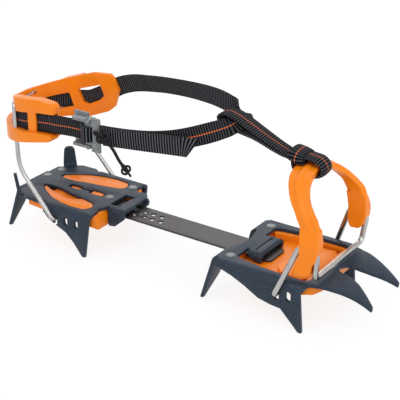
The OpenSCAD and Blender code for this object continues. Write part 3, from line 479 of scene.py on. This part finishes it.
def rolled_steel():
    """Brown-grey rolled strip, brushed along its length."""
    material, tree, surface, place = shade("rolled_steel")
    brushed = tree.noise(tree.stretched(place, (25.0, 2400.0, 2400.0)), 1.0, 4.0)
    cloud = tree.noise(place, 55.0, 3.0)
    tone = tree.mix(cloud, (0.05, 0.0455, 0.0455), (0.07, 0.064, 0.0635))
    tone = tree.mix(tree.math("MULTIPLY", brushed, 0.5), tone, (0.094, 0.087, 0.0865))
    tree.join(tone, surface.inputs["Base Color"])
    tree.join(tree.math("MULTIPLY_ADD", brushed, 0.2, 0.34), surface.inputs["Roughness"])
    surface.inputs["Metallic"].default_value = 0.75
    tree.join(tree.bump(brushed, 0.00004, 0.35), surface.inputs["Normal"])
    return material


def cast_grey():
    """Grey cast buckle metal with a matt skin and worn high spots."""
    material, tree, surface, place = shade("cast_grey")
    skin = tree.noise(place, 1500.0, 3.0)
    worn = tree.ramp(tree.noise(place, 260.0, 4.0), (0.5, 0.0), (0.75, 1.0))
    tree.join(tree.mix(worn, (0.19, 0.2, 0.205), (0.3, 0.31, 0.315)), surface.inputs["Base Color"])
    tree.join(tree.math("MULTIPLY_ADD", skin, 0.2, 0.36), surface.inputs["Roughness"])
    surface.inputs["Metallic"].default_value = 0.6
    tree.join(tree.bump(skin, 0.00008, 0.4), surface.inputs["Normal"])
    return material


def woven_web(name, striped, rib, face_highlight):
    """Ribbed webbing: one rib's length, how bright the painted highlight on the rib crests of its face is,
    and a coloured thread where it is striped; painted shade darkens the valleys between the ribs.
    """
    material, tree, surface, place = shade(name)
    chosen = settings()
    across, along = tree.cloth_place()
    slant = tree.math("PINGPONG", across, 0.5)
    ribs = tree.ridges(tree.math("MULTIPLY_ADD", slant, 0.2, tree.math("MULTIPLY", along, 1.0 / rib)))
    yarns = tree.ridges(tree.math("MULTIPLY", across, 16.0))
    fuzz = tree.noise(place, 1800.0, 3.0)
    weave = tree.math("ADD", tree.math("MULTIPLY", ribs, 0.7), tree.math("MULTIPLY", yarns, 0.3))
    # Painted highlight on the rib crests and painted shade in the valleys between them; the back face gets a
    # brighter painted highlight than the front.
    crest_highlight_mask = tree.ramp(weave, (0.5, 0.0), (0.96, 1.0))
    painted_highlight = tree.math("MULTIPLY", crest_highlight_mask, tree.math("MULTIPLY_ADD", fuzz, 0.9, 0.5))
    back = tree.math("GREATER_THAN", across, BACK_SHIFT - 0.5)
    light = tree.mix(back, tint(chosen.yarn, face_highlight), tint(chosen.yarn, 7.2))
    cloth_colour = tree.mix(painted_highlight, tint(chosen.yarn, 0.1), light)
    if striped:
        middle = tree.math("ABSOLUTE", tree.math("SUBTRACT", across, 0.5))
        line = tree.math("LESS_THAN", middle, 0.029)
        dashes = tree.ramp(ribs, (0.15, 0.25), (0.5, 1.0))
        cloth_colour = tree.mix(tree.math("MULTIPLY", line, dashes), cloth_colour, tuple(chosen.stripe))
    tree.join(cloth_colour, surface.inputs["Base Color"])
    tree.join(tree.math("MULTIPLY_ADD", fuzz, 0.15, 0.72), surface.inputs["Roughness"])
    surface.inputs["Specular IOR Level"].default_value = 0.08
    surface.inputs["Sheen Weight"].default_value = 0.03
    surface.inputs["Sheen Roughness"].default_value = 0.4
    tree.join(tree.bump(tree.math("MULTIPLY_ADD", fuzz, 0.15, weave), 0.0004, 0.7), surface.inputs["Normal"])
    return material


def braided_cord():
    """Black braid that turns round the cord."""
    material, tree, surface, _ = shade("braided_cord")
    turn, along = tree.cloth_place()
    run = tree.math("MULTIPLY", along, 700.0)
    twist = tree.math("MULTIPLY", turn, 4.0)
    left = tree.ridges(tree.math("ADD", run, twist))
    right = tree.ridges(tree.math("SUBTRACT", run, twist))
    braid = tree.math("MAXIMUM", left, right)
    tree.join(tree.mix(braid, (0.003, 0.003, 0.0035), (0.022, 0.022, 0.025)), surface.inputs["Base Color"])
    tree.join(tree.math("MULTIPLY_ADD", braid, -0.15, 0.75), surface.inputs["Roughness"])
    surface.inputs["Specular IOR Level"].default_value = 0.14
    tree.join(tree.bump(braid, 0.0003, 0.7), surface.inputs["Normal"])
    return material


def seen_ray(tree):
    """One on the rays of the camera, of reflections and through clear pieces."""
    path = tree.add("ShaderNodeLightPath")
    seen = tree.math("ADD", path.outputs["Is Camera Ray"], path.outputs["Is Glossy Ray"])
    seen = tree.math("ADD", seen, path.outputs["Is Transmission Ray"])
    return tree.math("MINIMUM", seen, 1.0)


def floor_paper():
    """Plain white paper with a faint tooth, on which shadows are soft to the camera and in reflections."""
    material, tree, surface, place = shade("floor_paper")
    tooth = tree.noise(place, 90.0, 2.0)
    seen = seen_ray(tree)
    paper = tree.mix(tooth, (0.88, 0.88, 0.88), (0.92, 0.92, 0.92))
    tree.join(tree.mix(seen, paper, (0.2, 0.2, 0.2)), surface.inputs["Base Color"])
    surface.inputs["Emission Color"].default_value = (1.0, 1.0, 1.0, 1.0)
    tree.join(tree.math("MULTIPLY", seen, 0.83), surface.inputs["Emission Strength"])
    surface.inputs["Roughness"].default_value = 0.8
    surface.inputs["Specular IOR Level"].default_value = 0.1
    return material


FINISHES = {
    "painted_steel": painted_steel, "moulded_orange": moulded_orange, "drawn_steel": drawn_steel,
    "rivet_steel": rivet_steel, "rolled_steel": rolled_steel, "cast_grey": cast_grey,
    "braided_cord": braided_cord, "floor_paper": floor_paper,
    # Last figure of each webbing: strength of the painted highlight on the rib crests of its face
    "striped_web": lambda: woven_web("striped_web", True, 0.0019, 4.7),
    "plain_web": lambda: woven_web("plain_web", False, 0.0022, 7.8),
}


def finish(name):
    """The named finish, made once."""
    return bpy.data.materials.get(name) or FINISHES[name]()


def dress(node, material, edge=0.0):
    """Gives a solid its finish and, where asked, eased edges."""
    obj = NODES[node]
    obj.data.materials.clear()
    obj.data.materials.append(finish(material))
    weld = obj.modifiers.new("weld", "WELD")
    weld.merge_threshold = WELD_GAP
    if edge > 0.0:
        flat = obj.modifiers.new("flat faces", "DECIMATE")
        flat.decimate_type = "DISSOLVE"
        flat.angle_limit = math.radians(FLAT_ANGLE)
        ease = obj.modifiers.new("eased edges", "BEVEL")
        ease.width = edge
        ease.segments = 2
        ease.limit_method = "ANGLE"
        ease.angle_limit = math.radians(EASE_ANGLE)
        ease.use_clamp_overlap = True
        ease.harden_normals = False
    smooth = obj.modifiers.new("shading", "EDGE_SPLIT")
    smooth.split_angle = math.radians(SPLIT_ANGLE)
    for face in obj.data.polygons:
        face.use_smooth = True
    return obj


def soften(obj, grid, passes):
    """Rounds a moulded solid's edges and steps, as a tool with no sharp corners leaves them."""
    even = obj.modifiers.new("even skin", "REMESH")
    even.mode = "VOXEL"
    even.voxel_size = grid
    even.use_smooth_shade = True
    ease = obj.modifiers.new("eased skin", "SMOOTH")
    ease.factor = 0.5
    ease.iterations = passes


# Mesh building


def new_piece(name, points, faces, material, uvs=None):
    """A mesh piece in metres, its faces turned outward."""
    mesh = bpy.data.meshes.new(name)
    mesh.from_pydata([Vector(p) for p in points], [], faces)
    if uvs is not None:
        layer = mesh.uv_layers.new(name="cloth")
        for face in mesh.polygons:
            for corner, spot in zip(face.loop_indices, uvs[face.index]):
                layer.data[corner].uv = spot
    shaped = bmesh.new()
    shaped.from_mesh(mesh)
    bmesh.ops.recalc_face_normals(shaped, faces=shaped.faces)
    shaped.to_mesh(mesh)
    shaped.free()
    return place_piece(name, mesh, material)


def place_piece(name, mesh, material):
    """Puts a mesh into the scene, smooth and with its finish."""
    mesh.shade_smooth()
    if not mesh.materials:
        mesh.materials.append(finish(material))
    obj = bpy.data.objects.new(name, mesh)
    bpy.context.scene.collection.objects.link(obj)
    return obj


def slope(a, b, c, size_in, size_out):
    """Rise of a smooth line at b, per length of the span after it."""
    share = size_out / (size_in + size_out)
    return (b - a) / size_in * size_out * share + (c - b) * (1.0 - share)


def span(a, b):
    """Distance between two rows, never zero."""
    return max(1e-6, (Vector(a[:3]) - Vector(b[:3])).length)


def curve_through(rows, step, before=None, after=None):
    """Smooth run of rows through the given ones, about a step apart."""
    guide = [
        before or [2 * a - b for a, b in zip(rows[0], rows[1])], *rows,
        after or [2 * a - b for a, b in zip(rows[-1], rows[-2])],
    ]
    out = []
    for i in range(1, len(guide) - 2):
        p0, p1, p2, p3 = guide[i - 1:i + 3]
        sizes = (span(p0, p1), span(p1, p2), span(p2, p3))
        parts = max(1, round(sizes[1] / step))
        for k in range(parts):
            t = k / parts
            row = []
            for a, b, c, d in zip(p0, p1, p2, p3):
                m1 = slope(a, b, c, sizes[0], sizes[1])
                m2 = -slope(d, c, b, sizes[2], sizes[1])
                row.append((2 * t - 3) * t * t * (b - c) + b + (t - 1) ** 2 * t * m1 + (t - 1) * t * t * m2)
            out.append(row)
    out.append(list(rows[-1]))
    return out


def web_section(width, thickness):
    """Section of the webbing: places across it, and out from its middle."""
    half, deep = width / 2, thickness / 2
    face = [half * k for k in WEB_FACE]
    edge = [(half * a, deep * b) for a, b in WEB_EDGE]
    return (
        [(a, deep) for a in face] + edge
        + [(a, -deep) for a in reversed(face)] + [(-a, -b) for a, b in edge])


def webbing(name, rows, outward, material, closed=False, before=None, after=None, width=None, crown=0.0,
            cut=0.0):
    """Flat webbing through the rows. Its face carries the length and the width of the cloth."""
    chosen = settings()
    width = (width or chosen.web_width) / MM
    section = web_section(width, chosen.web_thickness / MM)
    count = len(section)
    if closed:
        samples = curve_through([*rows, rows[0]], WEB_STEP, rows[-1], rows[1])[:-1]
    else:
        samples = curve_through(rows, WEB_STEP, before, after)
    size = len(samples)
    points, runs, run = [], [], 0.0
    for i, sample in enumerate(samples):
        spot = Vector(sample[:3])
        ahead = samples[(i + 1) % size] if closed or i < size - 1 else after or sample
        behind = samples[i - 1] if closed or i > 0 else before or sample
        way = (Vector(ahead[:3]) - Vector(behind[:3])).normalized()
        side = Vector(sample[3:6])
        share = sample[6] if len(sample) > 6 else 1.0
        side = (side - way * side.dot(way)).normalized()
        out = way.cross(side) * outward
        if i > 0:
            run += (spot - Vector(samples[i - 1][:3])).length
        runs.append(run)
        slant = cut * max(0.0, 1.0 - (size - 1 - i) / CUT_SAMPLES)
        for a, b in section:
            lift = crown * (1.0 - (2.0 * a / width) ** 2)
            step = way * (slant * 2.0 * a / width)
            points.append((spot + side * (a * share) + out * (b + lift) + step) * MM)
    faces, uvs = [], []
    for i in range(size if closed else size - 1):
        j = (i + 1) % size
        far = runs[j] if j else runs[-1] + (Vector(samples[0][:3]) - Vector(samples[-1][:3])).length
        for k in range(count):
            n = (k + 1) % count
            inner = 0.0 if max(section[k][1], section[n][1]) > 0.0 else BACK_SHIFT
            u0, u1 = (inner + 0.5 + section[m][0] / width for m in (k, n))
            faces.append((i * count + k, j * count + k, j * count + n, i * count + n))
            uvs.append([(u0, runs[i] * MM), (u0, far * MM), (u1, far * MM), (u1, runs[i] * MM)])
    if not closed:
        for start in (0, (size - 1) * count):
            faces.append(tuple(range(start, start + count)))
            uvs.append([(BACK_SHIFT, 0.0)] * count)
    return new_piece(name, points, faces, material, uvs)


# Geometry Nodes


def set_inputs(modifier, tree, **values):
    """Sets a node modifier's inputs by their names."""
    for item in tree.interface.items_tree:
        if item.in_out == "INPUT" and item.name in values:
            modifier[item.identifier] = values[item.name]


def grown(name, points, edges, tree, material, **values):
    """Runs a node tree on points and edges, and keeps its plain mesh."""
    seed = bpy.data.meshes.new(name + "_seed")
    seed.from_pydata([Vector(p) * MM for p in points], edges, [])
    carrier = bpy.data.objects.new(name + "_seed", seed)
    bpy.context.scene.collection.objects.link(carrier)
    modifier = carrier.modifiers.new("grow", "NODES")
    modifier.node_group = tree
    set_inputs(modifier, tree, Material=finish(material), **values)
    bpy.context.view_layer.update()
    ready = carrier.evaluated_get(bpy.context.evaluated_depsgraph_get())
    mesh = bpy.data.meshes.new_from_object(ready)
    mesh.name = name
    carrier.modifiers.remove(modifier)
    bpy.data.objects.remove(carrier)
    return place_piece(name, mesh, material)


def new_tree(name, *inputs):
    """A new geometry tree with the listed inputs, its helper and what it is given."""
    tree = bpy.data.node_groups.new(name, "GeometryNodeTree")
    tree.interface.new_socket("Path", in_out="INPUT", socket_type="NodeSocketGeometry")
    for title, kind in inputs:
        tree.interface.new_socket(title, in_out="INPUT", socket_type=kind)
    tree.interface.new_socket("Material", in_out="INPUT", socket_type="NodeSocketMaterial")
    tree.interface.new_socket("Made", in_out="OUTPUT", socket_type="NodeSocketGeometry")
    made = Tree(tree)
    return tree, made, made.add("NodeGroupInput").outputs


def close_tree(made, geometry, given):
    """Ends a tree: one plain smooth mesh with its material."""
    plain = made.add("GeometryNodeRealizeInstances")
    smooth = made.add("GeometryNodeSetShadeSmooth")
    coat = made.add("GeometryNodeSetMaterial")
    out = made.add("NodeGroupOutput")
    made.join(geometry, plain.inputs["Geometry"])
    made.join(plain.outputs[0], smooth.inputs["Geometry"])
    made.join(smooth.outputs[0], coat.inputs["Geometry"])
    made.join(given["Material"], coat.inputs["Material"])
    made.join(coat.outputs[0], out.inputs[0])


def wire_tree():
    """Round wire along the edges it is given, with its turn and length kept as cloth coordinates."""
    found = bpy.data.node_groups.get("wire_along_path")
    if found:
        return found
    tree, made, given = new_tree(
        "wire_along_path", ("Diameter", "NodeSocketFloat"), ("Sides", "NodeSocketInt"))
    line = made.add("GeometryNodeMeshToCurve")
    made.join(given["Path"], line.inputs["Mesh"])
    length = made.add("GeometryNodeCaptureAttribute", domain="POINT")
    length.capture_items.new("FLOAT", "Length")
    made.join(line.outputs[0], length.inputs["Geometry"])
    made.join(made.add("GeometryNodeSplineParameter").outputs["Length"], length.inputs["Length"])
    circle = made.add("GeometryNodeCurvePrimitiveCircle")
    made.join(given["Sides"], circle.inputs["Resolution"])
    made.join(made.math("MULTIPLY", given["Diameter"], 0.5), circle.inputs["Radius"])
    turn = made.add("GeometryNodeCaptureAttribute", domain="POINT")
    turn.capture_items.new("FLOAT", "Turn")
    made.join(circle.outputs[0], turn.inputs["Geometry"])
    made.join(made.add("GeometryNodeSplineParameter").outputs["Factor"], turn.inputs["Turn"])
    tube = made.add("GeometryNodeCurveToMesh")
    tube.inputs["Fill Caps"].default_value = True
    made.join(length.outputs["Geometry"], tube.inputs["Curve"])
    made.join(turn.outputs["Geometry"], tube.inputs["Profile Curve"])
    cloth = made.add("ShaderNodeCombineXYZ")
    made.join(turn.outputs["Turn"], cloth.inputs[0])
    made.join(length.outputs["Length"], cloth.inputs[1])
    keep = made.add("GeometryNodeStoreNamedAttribute", data_type="FLOAT2", domain="CORNER")
    keep.inputs["Name"].default_value = "cloth"
    made.join(tube.outputs[0], keep.inputs["Geometry"])
    made.join(cloth.outputs[0], keep.inputs["Value"])
    close_tree(made, keep.outputs[0], given)
    return tree


def head_tree():
    """Low dome on every point it is given."""
    found = bpy.data.node_groups.get("heads_on_points")
    if found:
        return found
    tree, made, given = new_tree(
        "heads_on_points", ("Diameter", "NodeSocketFloat"), ("Rise", "NodeSocketFloat"))
    dome = made.add("GeometryNodeMeshUVSphere")
    dome.inputs["Segments"].default_value = HEAD_SIDES
    dome.inputs["Rings"].default_value = HEAD_RINGS
    made.join(made.math("MULTIPLY", given["Diameter"], 0.5), dome.inputs["Radius"])
    flat = made.add("ShaderNodeCombineXYZ")
    flat.inputs[0].default_value = 1.0
    flat.inputs[1].default_value = 1.0
    twice = made.math("MULTIPLY", given["Rise"], 2.0)
    made.join(made.math("DIVIDE", twice, given["Diameter"]), flat.inputs[2])
    spots = made.add("GeometryNodeInstanceOnPoints")
    made.join(given["Path"], spots.inputs["Points"])
    made.join(dome.outputs["Mesh"], spots.inputs["Instance"])
    made.join(flat.outputs[0], spots.inputs["Scale"])
    close_tree(made, spots.outputs[0], given)
    return tree


def chain(count):
    """Edges that join points in their order."""
    return [(i, i + 1) for i in range(count - 1)]


def wire_line(corners):
    """Points along a bent wire through corners given as point and bend radius."""
    line = [Vector(corners[0][:3])]
    for before, corner, after in zip(corners, corners[1:], corners[2:]):
        spot = Vector(corner[:3])
        into = (spot - Vector(before[:3])).normalized()
        out = (Vector(after[:3]) - spot).normalized()
        angle = into.angle(out)
        radius = corner[3]
        start = spot - into * radius * math.tan(angle / 2)
        inward = (out - into * out.dot(into)).normalized()
        centre = start + inward * radius
        parts = max(3, math.ceil(math.degrees(angle) / BEND_PART))
        for k in range(parts + 1):
            t = angle * k / parts
            line.append(centre + (into * math.sin(t) - inward * math.cos(t)) * radius)
    line.append(Vector(corners[-1][:3]))
    return line


def far_side(corners):
    """Corners of the other side, in running order."""
    return [(x, -y, z, r) for x, y, z, r in reversed(corners)]


def ridden(obj, body, slot, *nodes):
    """Sets which body carries a made piece and hides the solids it stands for; its slot is not used."""
    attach(obj, body)
    if nodes:
        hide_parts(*nodes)


def bent(obj, a, b, start, end, slot, *nodes):
    """Bakes a made piece's placing into its mesh and hides the solids it stands for."""
    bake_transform(obj)
    if nodes:
        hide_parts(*nodes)


def trefoil(t):
    """Point on a trefoil knot: two places in its plane and one out of it."""
    return (math.sin(t) + 2.0 * math.sin(2 * t), math.cos(t) - 2.0 * math.cos(2 * t), math.sin(3 * t))


class CRAMPON_OT_stage(Operator):
    """Sets the camera, the pale floor and the studio light"""

    bl_idname = "crampon.stage"
    bl_label = "Stage"

    def execute(self, context):
        scene = context.scene
        target = Vector(CAMERA_TARGET) * MM
        spot = Vector(CAMERA_SPOT) * MM
        lens = bpy.data.cameras.new("photo_camera")
        lens.lens = CAMERA_LENS
        lens.sensor_width = CAMERA_SENSOR
        lens.clip_start = CAMERA_NEAR
        camera = bpy.data.objects.new("photo_camera", lens)
        camera.location = spot
        camera.rotation_euler = (target - spot).to_track_quat("-Z", "Y").to_euler()
        scene.collection.objects.link(camera)
        scene.camera = camera
        scene.view_settings.view_transform = "Standard"
        self.floor()
        for lamp in LAMPS:
            self.light(scene, *lamp)
        self.sky(scene)
        return {"FINISHED"}

    def floor(self):
        """White paper under the points."""
        corners = [(x * FLOOR_HALF, y * FLOOR_HALF, FLOOR_Z) for x, y in ((-1, -1), (1, -1), (1, 1), (-1, 1))]
        floor = new_piece("floor", corners, [(0, 1, 2, 3)], "floor_paper")

    def light(self, scene, name, spot, size, power):
        """An area lamp that faces the origin."""
        lamp = bpy.data.lights.new(name, "AREA")
        lamp.size = size
        lamp.energy = power
        obj = bpy.data.objects.new(name, lamp)
        obj.location = spot
        obj.rotation_euler = (-Vector(spot)).to_track_quat("-Z", "Y").to_euler()
        scene.collection.objects.link(obj)

    def sky(self, scene):
        """White to the camera and in reflections, softer as a light."""
        world = bpy.data.worlds.new("studio")
        scene.world = world
        world.use_nodes = True
        tree = Tree(world.node_tree)
        sky = world.node_tree.nodes["Background"]
        seen = seen_ray(tree)
        tree.join(tree.mix(seen, SKY_LIGHT, (1.0, 1.0, 1.0)), sky.inputs["Color"])
        sky.inputs["Strength"].default_value = 1.0


class CRAMPON_OT_cord(Operator):
    """Makes the pull cord on the buckle, with the knots at both its ends"""

    bl_idname = "crampon.cord"
    bl_label = "Pull cord"

    def execute(self, context):
        thick = settings().cord
        line = [row[:3] for row in curve_through(CORD_ROUTE, CORD_STEP)]
        cord = grown("pull_cord_braid", line, chain(len(line)), wire_tree(), "braided_cord",
                     Diameter=thick, Sides=CORD_SIDES)
        ridden(cord, "buckle", "cord_cloth", "pull_cord")
        turns = [trefoil(2.0 * math.pi * k / KNOT_PARTS) for k in range(KNOT_PARTS + 1)]
        size_x, size_y, size_z = HITCH_SIZE
        hitch = [Vector(HITCH_MIDDLE) + Vector((size_x * a, -size_y * c, size_z * b)) for a, b, c in turns]
        knot = grown("pull_cord_knot", hitch, chain(len(hitch)), wire_tree(), "braided_cord",
                     Diameter=thick * HITCH_SHARE, Sides=KNOT_SIDES)
        ridden(knot, "buckle", "cord_cloth")
        along, across = Vector(END_ALONG), Vector(END_ACROSS)
        middle = Vector(CORD_ROUTE[-1]) + along * END_REACH
        run, out, wide = END_SIZE
        loops = [middle + along * (run * b) + across * (wide * a) + Vector((0.0, out * c, 0.0))
                 for a, b, c in turns]
        tip = [Vector(CORD_ROUTE[-1]) + along * (TIP_STEP * k) for k in range(TIP_POINTS)]
        edges = chain(len(loops)) + [(a + len(loops), b + len(loops)) for a, b in chain(len(tip))]
        end = grown("pull_cord_end_knot", loops + tip, edges, wire_tree(), "braided_cord",
                    Diameter=thick * END_SHARE, Sides=KNOT_SIDES)
        ridden(end, "buckle", "cord_cloth", "cord_end")
        return {"FINISHED"}


class CRAMPON_OT_frames(Operator):
    """Paints the two pressed steel frames"""

    bl_idname = "crampon.frames"
    bl_label = "Steel frames"

    def execute(self, context):
        dress("front_frame", "painted_steel", FRAME_EDGE)
        dress("heel_frame", "painted_steel", FRAME_EDGE)
        return {"FINISHED"}


class CRAMPON_OT_plastic(Operator):
    """Gives the moulded pieces their plastic and eased edges"""

    bl_idname = "crampon.plastic"
    bl_label = "Moulded pieces"

    def execute(self, context):
        soften(dress("toe_cage", "moulded_orange"), CAGE_GRID, CAGE_PASSES)
        dress("heel_cup", "moulded_orange", CUP_EDGE)
        dress("front_antiball_plate", "moulded_orange", PLATE_EDGE)
        dress("heel_antiball_plate", "moulded_orange", PLATE_EDGE)
        return {"FINISHED"}


class CRAMPON_OT_bails(Operator):
    """Bends the two wire bails"""

    bl_idname = "crampon.bails"
    bl_label = "Wire bails"

    def execute(self, context):
        chosen = settings()
        toe_line = wire_line(TOE_BAIL_CORNERS + far_side(TOE_BAIL_CORNERS))
        toe = grown("toe_bail_bent_wire", toe_line, chain(len(toe_line)), wire_tree(), "drawn_steel",
                    Diameter=chosen.toe_wire, Sides=chosen.wire_sides)
        ridden(toe, "toe_bail", "bright_steel", "toe_bail_wire")
        heel_line = wire_line(HEEL_BAIL_CORNERS + CUP_BAIL_CORNERS + far_side(HEEL_BAIL_CORNERS))
        heel = grown("heel_bail_bent_wire", heel_line, chain(len(heel_line)), wire_tree(), "drawn_steel",
                     Diameter=chosen.heel_wire, Sides=chosen.wire_sides)
        ridden(heel, "heel_bail", "bright_steel", "heel_bail_wire")
        return {"FINISHED"}


class CRAMPON_OT_rivets(Operator):
    """Sets domed heads on the rivets"""

    bl_idname = "crampon.rivets"
    bl_label = "Rivets"

    def execute(self, context):
        chosen = settings()
        for name, spots in (("front", FRONT_RIVETS), ("heel", HEEL_RIVETS)):
            dress(name + "_rivets", "rivet_steel")
            places = [(x, y, 0.0) for x, y in spots]
            heads = grown(name + "_rivet_heads", places, [], head_tree(), "rivet_steel",
                          Diameter=chosen.rivet_head, Rise=chosen.rivet_rise)
            ridden(heads, name, "bright_steel")
        return {"FINISHED"}


class CRAMPON_OT_adjuster(Operator):
    """Finishes the link bar, the latch, its pin and its spring"""

    bl_idname = "crampon.adjuster"
    bl_label = "Length adjuster"

    def execute(self, context):
        dress("link_bar", "rolled_steel", BAR_EDGE)
        dress("adjuster_latch", "rolled_steel", LATCH_EDGE)
        dress("latch_pivot_pin", "drawn_steel")
        dress("latch_spring", "drawn_steel", SPRING_EDGE)
        return {"FINISHED"}


class CRAMPON_OT_buckle(Operator):
    """Finishes the buckle's plate and tilting frame"""

    bl_idname = "crampon.buckle"
    bl_label = "Buckle"

    def execute(self, context):
        dress("buckle_base", "cast_grey", BUCKLE_EDGE)
        dress("buckle_frame", "cast_grey", BUCKLE_EDGE)
        return {"FINISHED"}


class CRAMPON_OT_webbing(Operator):
    """Lays the harness webbing round the heel, through the toe strap and the buckle"""

    bl_idname = "crampon.webbing"
    bl_label = "Harness webbing"

    def execute(self, context):
        heel = webbing("harness_heel", HEEL_ROWS, -1.0, "striped_web",
                       before=NEAR_REAR_ROWS[1], after=FAR_REAR_ROWS[1])
        ridden(heel, "heel_bail", "webbing", "heel_strap")
        far_rear = webbing("harness_far_rear", FAR_REAR_ROWS, -1.0, "striped_web",
                           before=HEEL_ROWS[-2], after=FAR_FRONT_ROWS[1])
        bent(far_rear, "heel_bail", "strap", FAR_REAR_ROWS[0][:3], FAR_BEND_END, "webbing",
             "strap_far_rear")
        far_front = webbing("harness_far_front", FAR_FRONT_ROWS, -1.0, "striped_web",
                            before=FAR_REAR_ROWS[-2], after=FOLD_ROWS[1])
        bent(far_front, "strap", "strap_front", FAR_FRONT_ROWS[0][:3], FAR_FRONT_ROWS[-1][:3], "webbing",
             "strap_far_front")
        fold = webbing("harness_fold", FOLD_ROWS, -1.0, "striped_web",
                       before=FAR_FRONT_ROWS[-2], after=NEAR_RUN_ROWS[1])
        ridden(fold, "strap_front", "webbing", "strap_fold")
        near_run = webbing("harness_near_run", NEAR_RUN_ROWS, -1.0, "striped_web", before=FOLD_ROWS[-2])
        bent(near_run, "strap_front", "strap", NEAR_RUN_ROWS[0][:3], NEAR_RUN_ROWS[-1][:3], "webbing",
             "strap_near_run")
        near_rear = webbing("harness_near_rear", NEAR_REAR_ROWS, 1.0, "striped_web", before=HEEL_ROWS[1])
        bent(near_rear, "heel_bail", "strap", NEAR_REAR_ROWS[0][:3], NEAR_BEND_END, "webbing",
             "strap_near_rear")
        sewn = webbing("harness_sewn_end", SEWN_ROWS, 1.0, "plain_web")
        ridden(sewn, "strap", "webbing")
        tail = webbing("harness_tail", TAIL_ROWS, 1.0, "plain_web", cut=TAIL_CUT)
        ridden(tail, "strap", "webbing", "strap_tail")
        return {"FINISHED"}


class CRAMPON_OT_toe_strap(Operator):
    """Ties the toe strap round the cage and carries it back to its eye"""

    bl_idname = "crampon.toe_strap"
    bl_label = "Toe strap"

    def execute(self, context):
        line = [(x, 0.0, z, 0.0, 1.0, 0.0, share) for x, z, share in TOE_STRAP_LINE]
        strap = webbing("toe_strap_eye", line, -1.0, "striped_web")
        bent(strap, "toe_bail", "toe_strap", TOE_BEND_START, TOE_BEND_END, "webbing", "toe_loop")
        ring = [(x, WRAP_Y, z, 0.0, 1.0, 0.0) for x, z in KNOT_RING]
        wrap = webbing("toe_strap_wrap", ring, 1.0, "striped_web", closed=True, width=WRAP_WIDTH,
                       crown=KNOT_CROWN)
        ridden(wrap, "toe_bail", "webbing")
        band = [(BAND_X, y, z, *BAND_LEAN) for y, z in KNOT_BAND]
        cross = webbing("toe_strap_band", band, -1.0, "striped_web", closed=True, width=BAND_WIDTH,
                        crown=KNOT_CROWN)
        ridden(cross, "toe_bail", "webbing")
        return {"FINISHED"}


class CRAMPON_PT_panel(Panel):
    """Lists the steps that dress the crampon"""

    bl_idname = "CRAMPON_PT_panel"
    bl_label = "Crampon"
    bl_space_type = "VIEW_3D"
    bl_region_type = "UI"
    bl_category = "Crampon"

    def draw(self, context):
        chosen = context.scene.crampon_settings
        for key in ("paint", "plastic", "yarn", "stripe", "web_width", "web_thickness", "toe_wire",
                    "heel_wire", "cord", "rivet_head", "rivet_rise", "wire_sides"):
            self.layout.prop(chosen, key)
        for step in STEPS:
            self.layout.operator(step.bl_idname)


STEPS = (
    CRAMPON_OT_stage, CRAMPON_OT_cord, CRAMPON_OT_frames, CRAMPON_OT_plastic, CRAMPON_OT_bails,
    CRAMPON_OT_rivets, CRAMPON_OT_adjuster, CRAMPON_OT_buckle, CRAMPON_OT_webbing, CRAMPON_OT_toe_strap,
)
CLASSES = (CramponSettings, *STEPS, CRAMPON_PT_panel)


def register():
    for each in CLASSES:
        bpy.utils.register_class(each)
    bpy.types.Scene.crampon_settings = PointerProperty(type=CramponSettings)


def unregister():
    del bpy.types.Scene.crampon_settings
    for each in reversed(CLASSES):
        bpy.utils.unregister_class(each)


def main():
    register()
    bpy.ops.crampon.stage()
    bpy.ops.crampon.cord()
    bpy.ops.crampon.frames()
    bpy.ops.crampon.plastic()
    bpy.ops.crampon.bails()
    bpy.ops.crampon.rivets()
    bpy.ops.crampon.adjuster()
    bpy.ops.crampon.buckle()
    bpy.ops.crampon.webbing()
    bpy.ops.crampon.toe_strap()


if __name__ == "__main__":
    main()
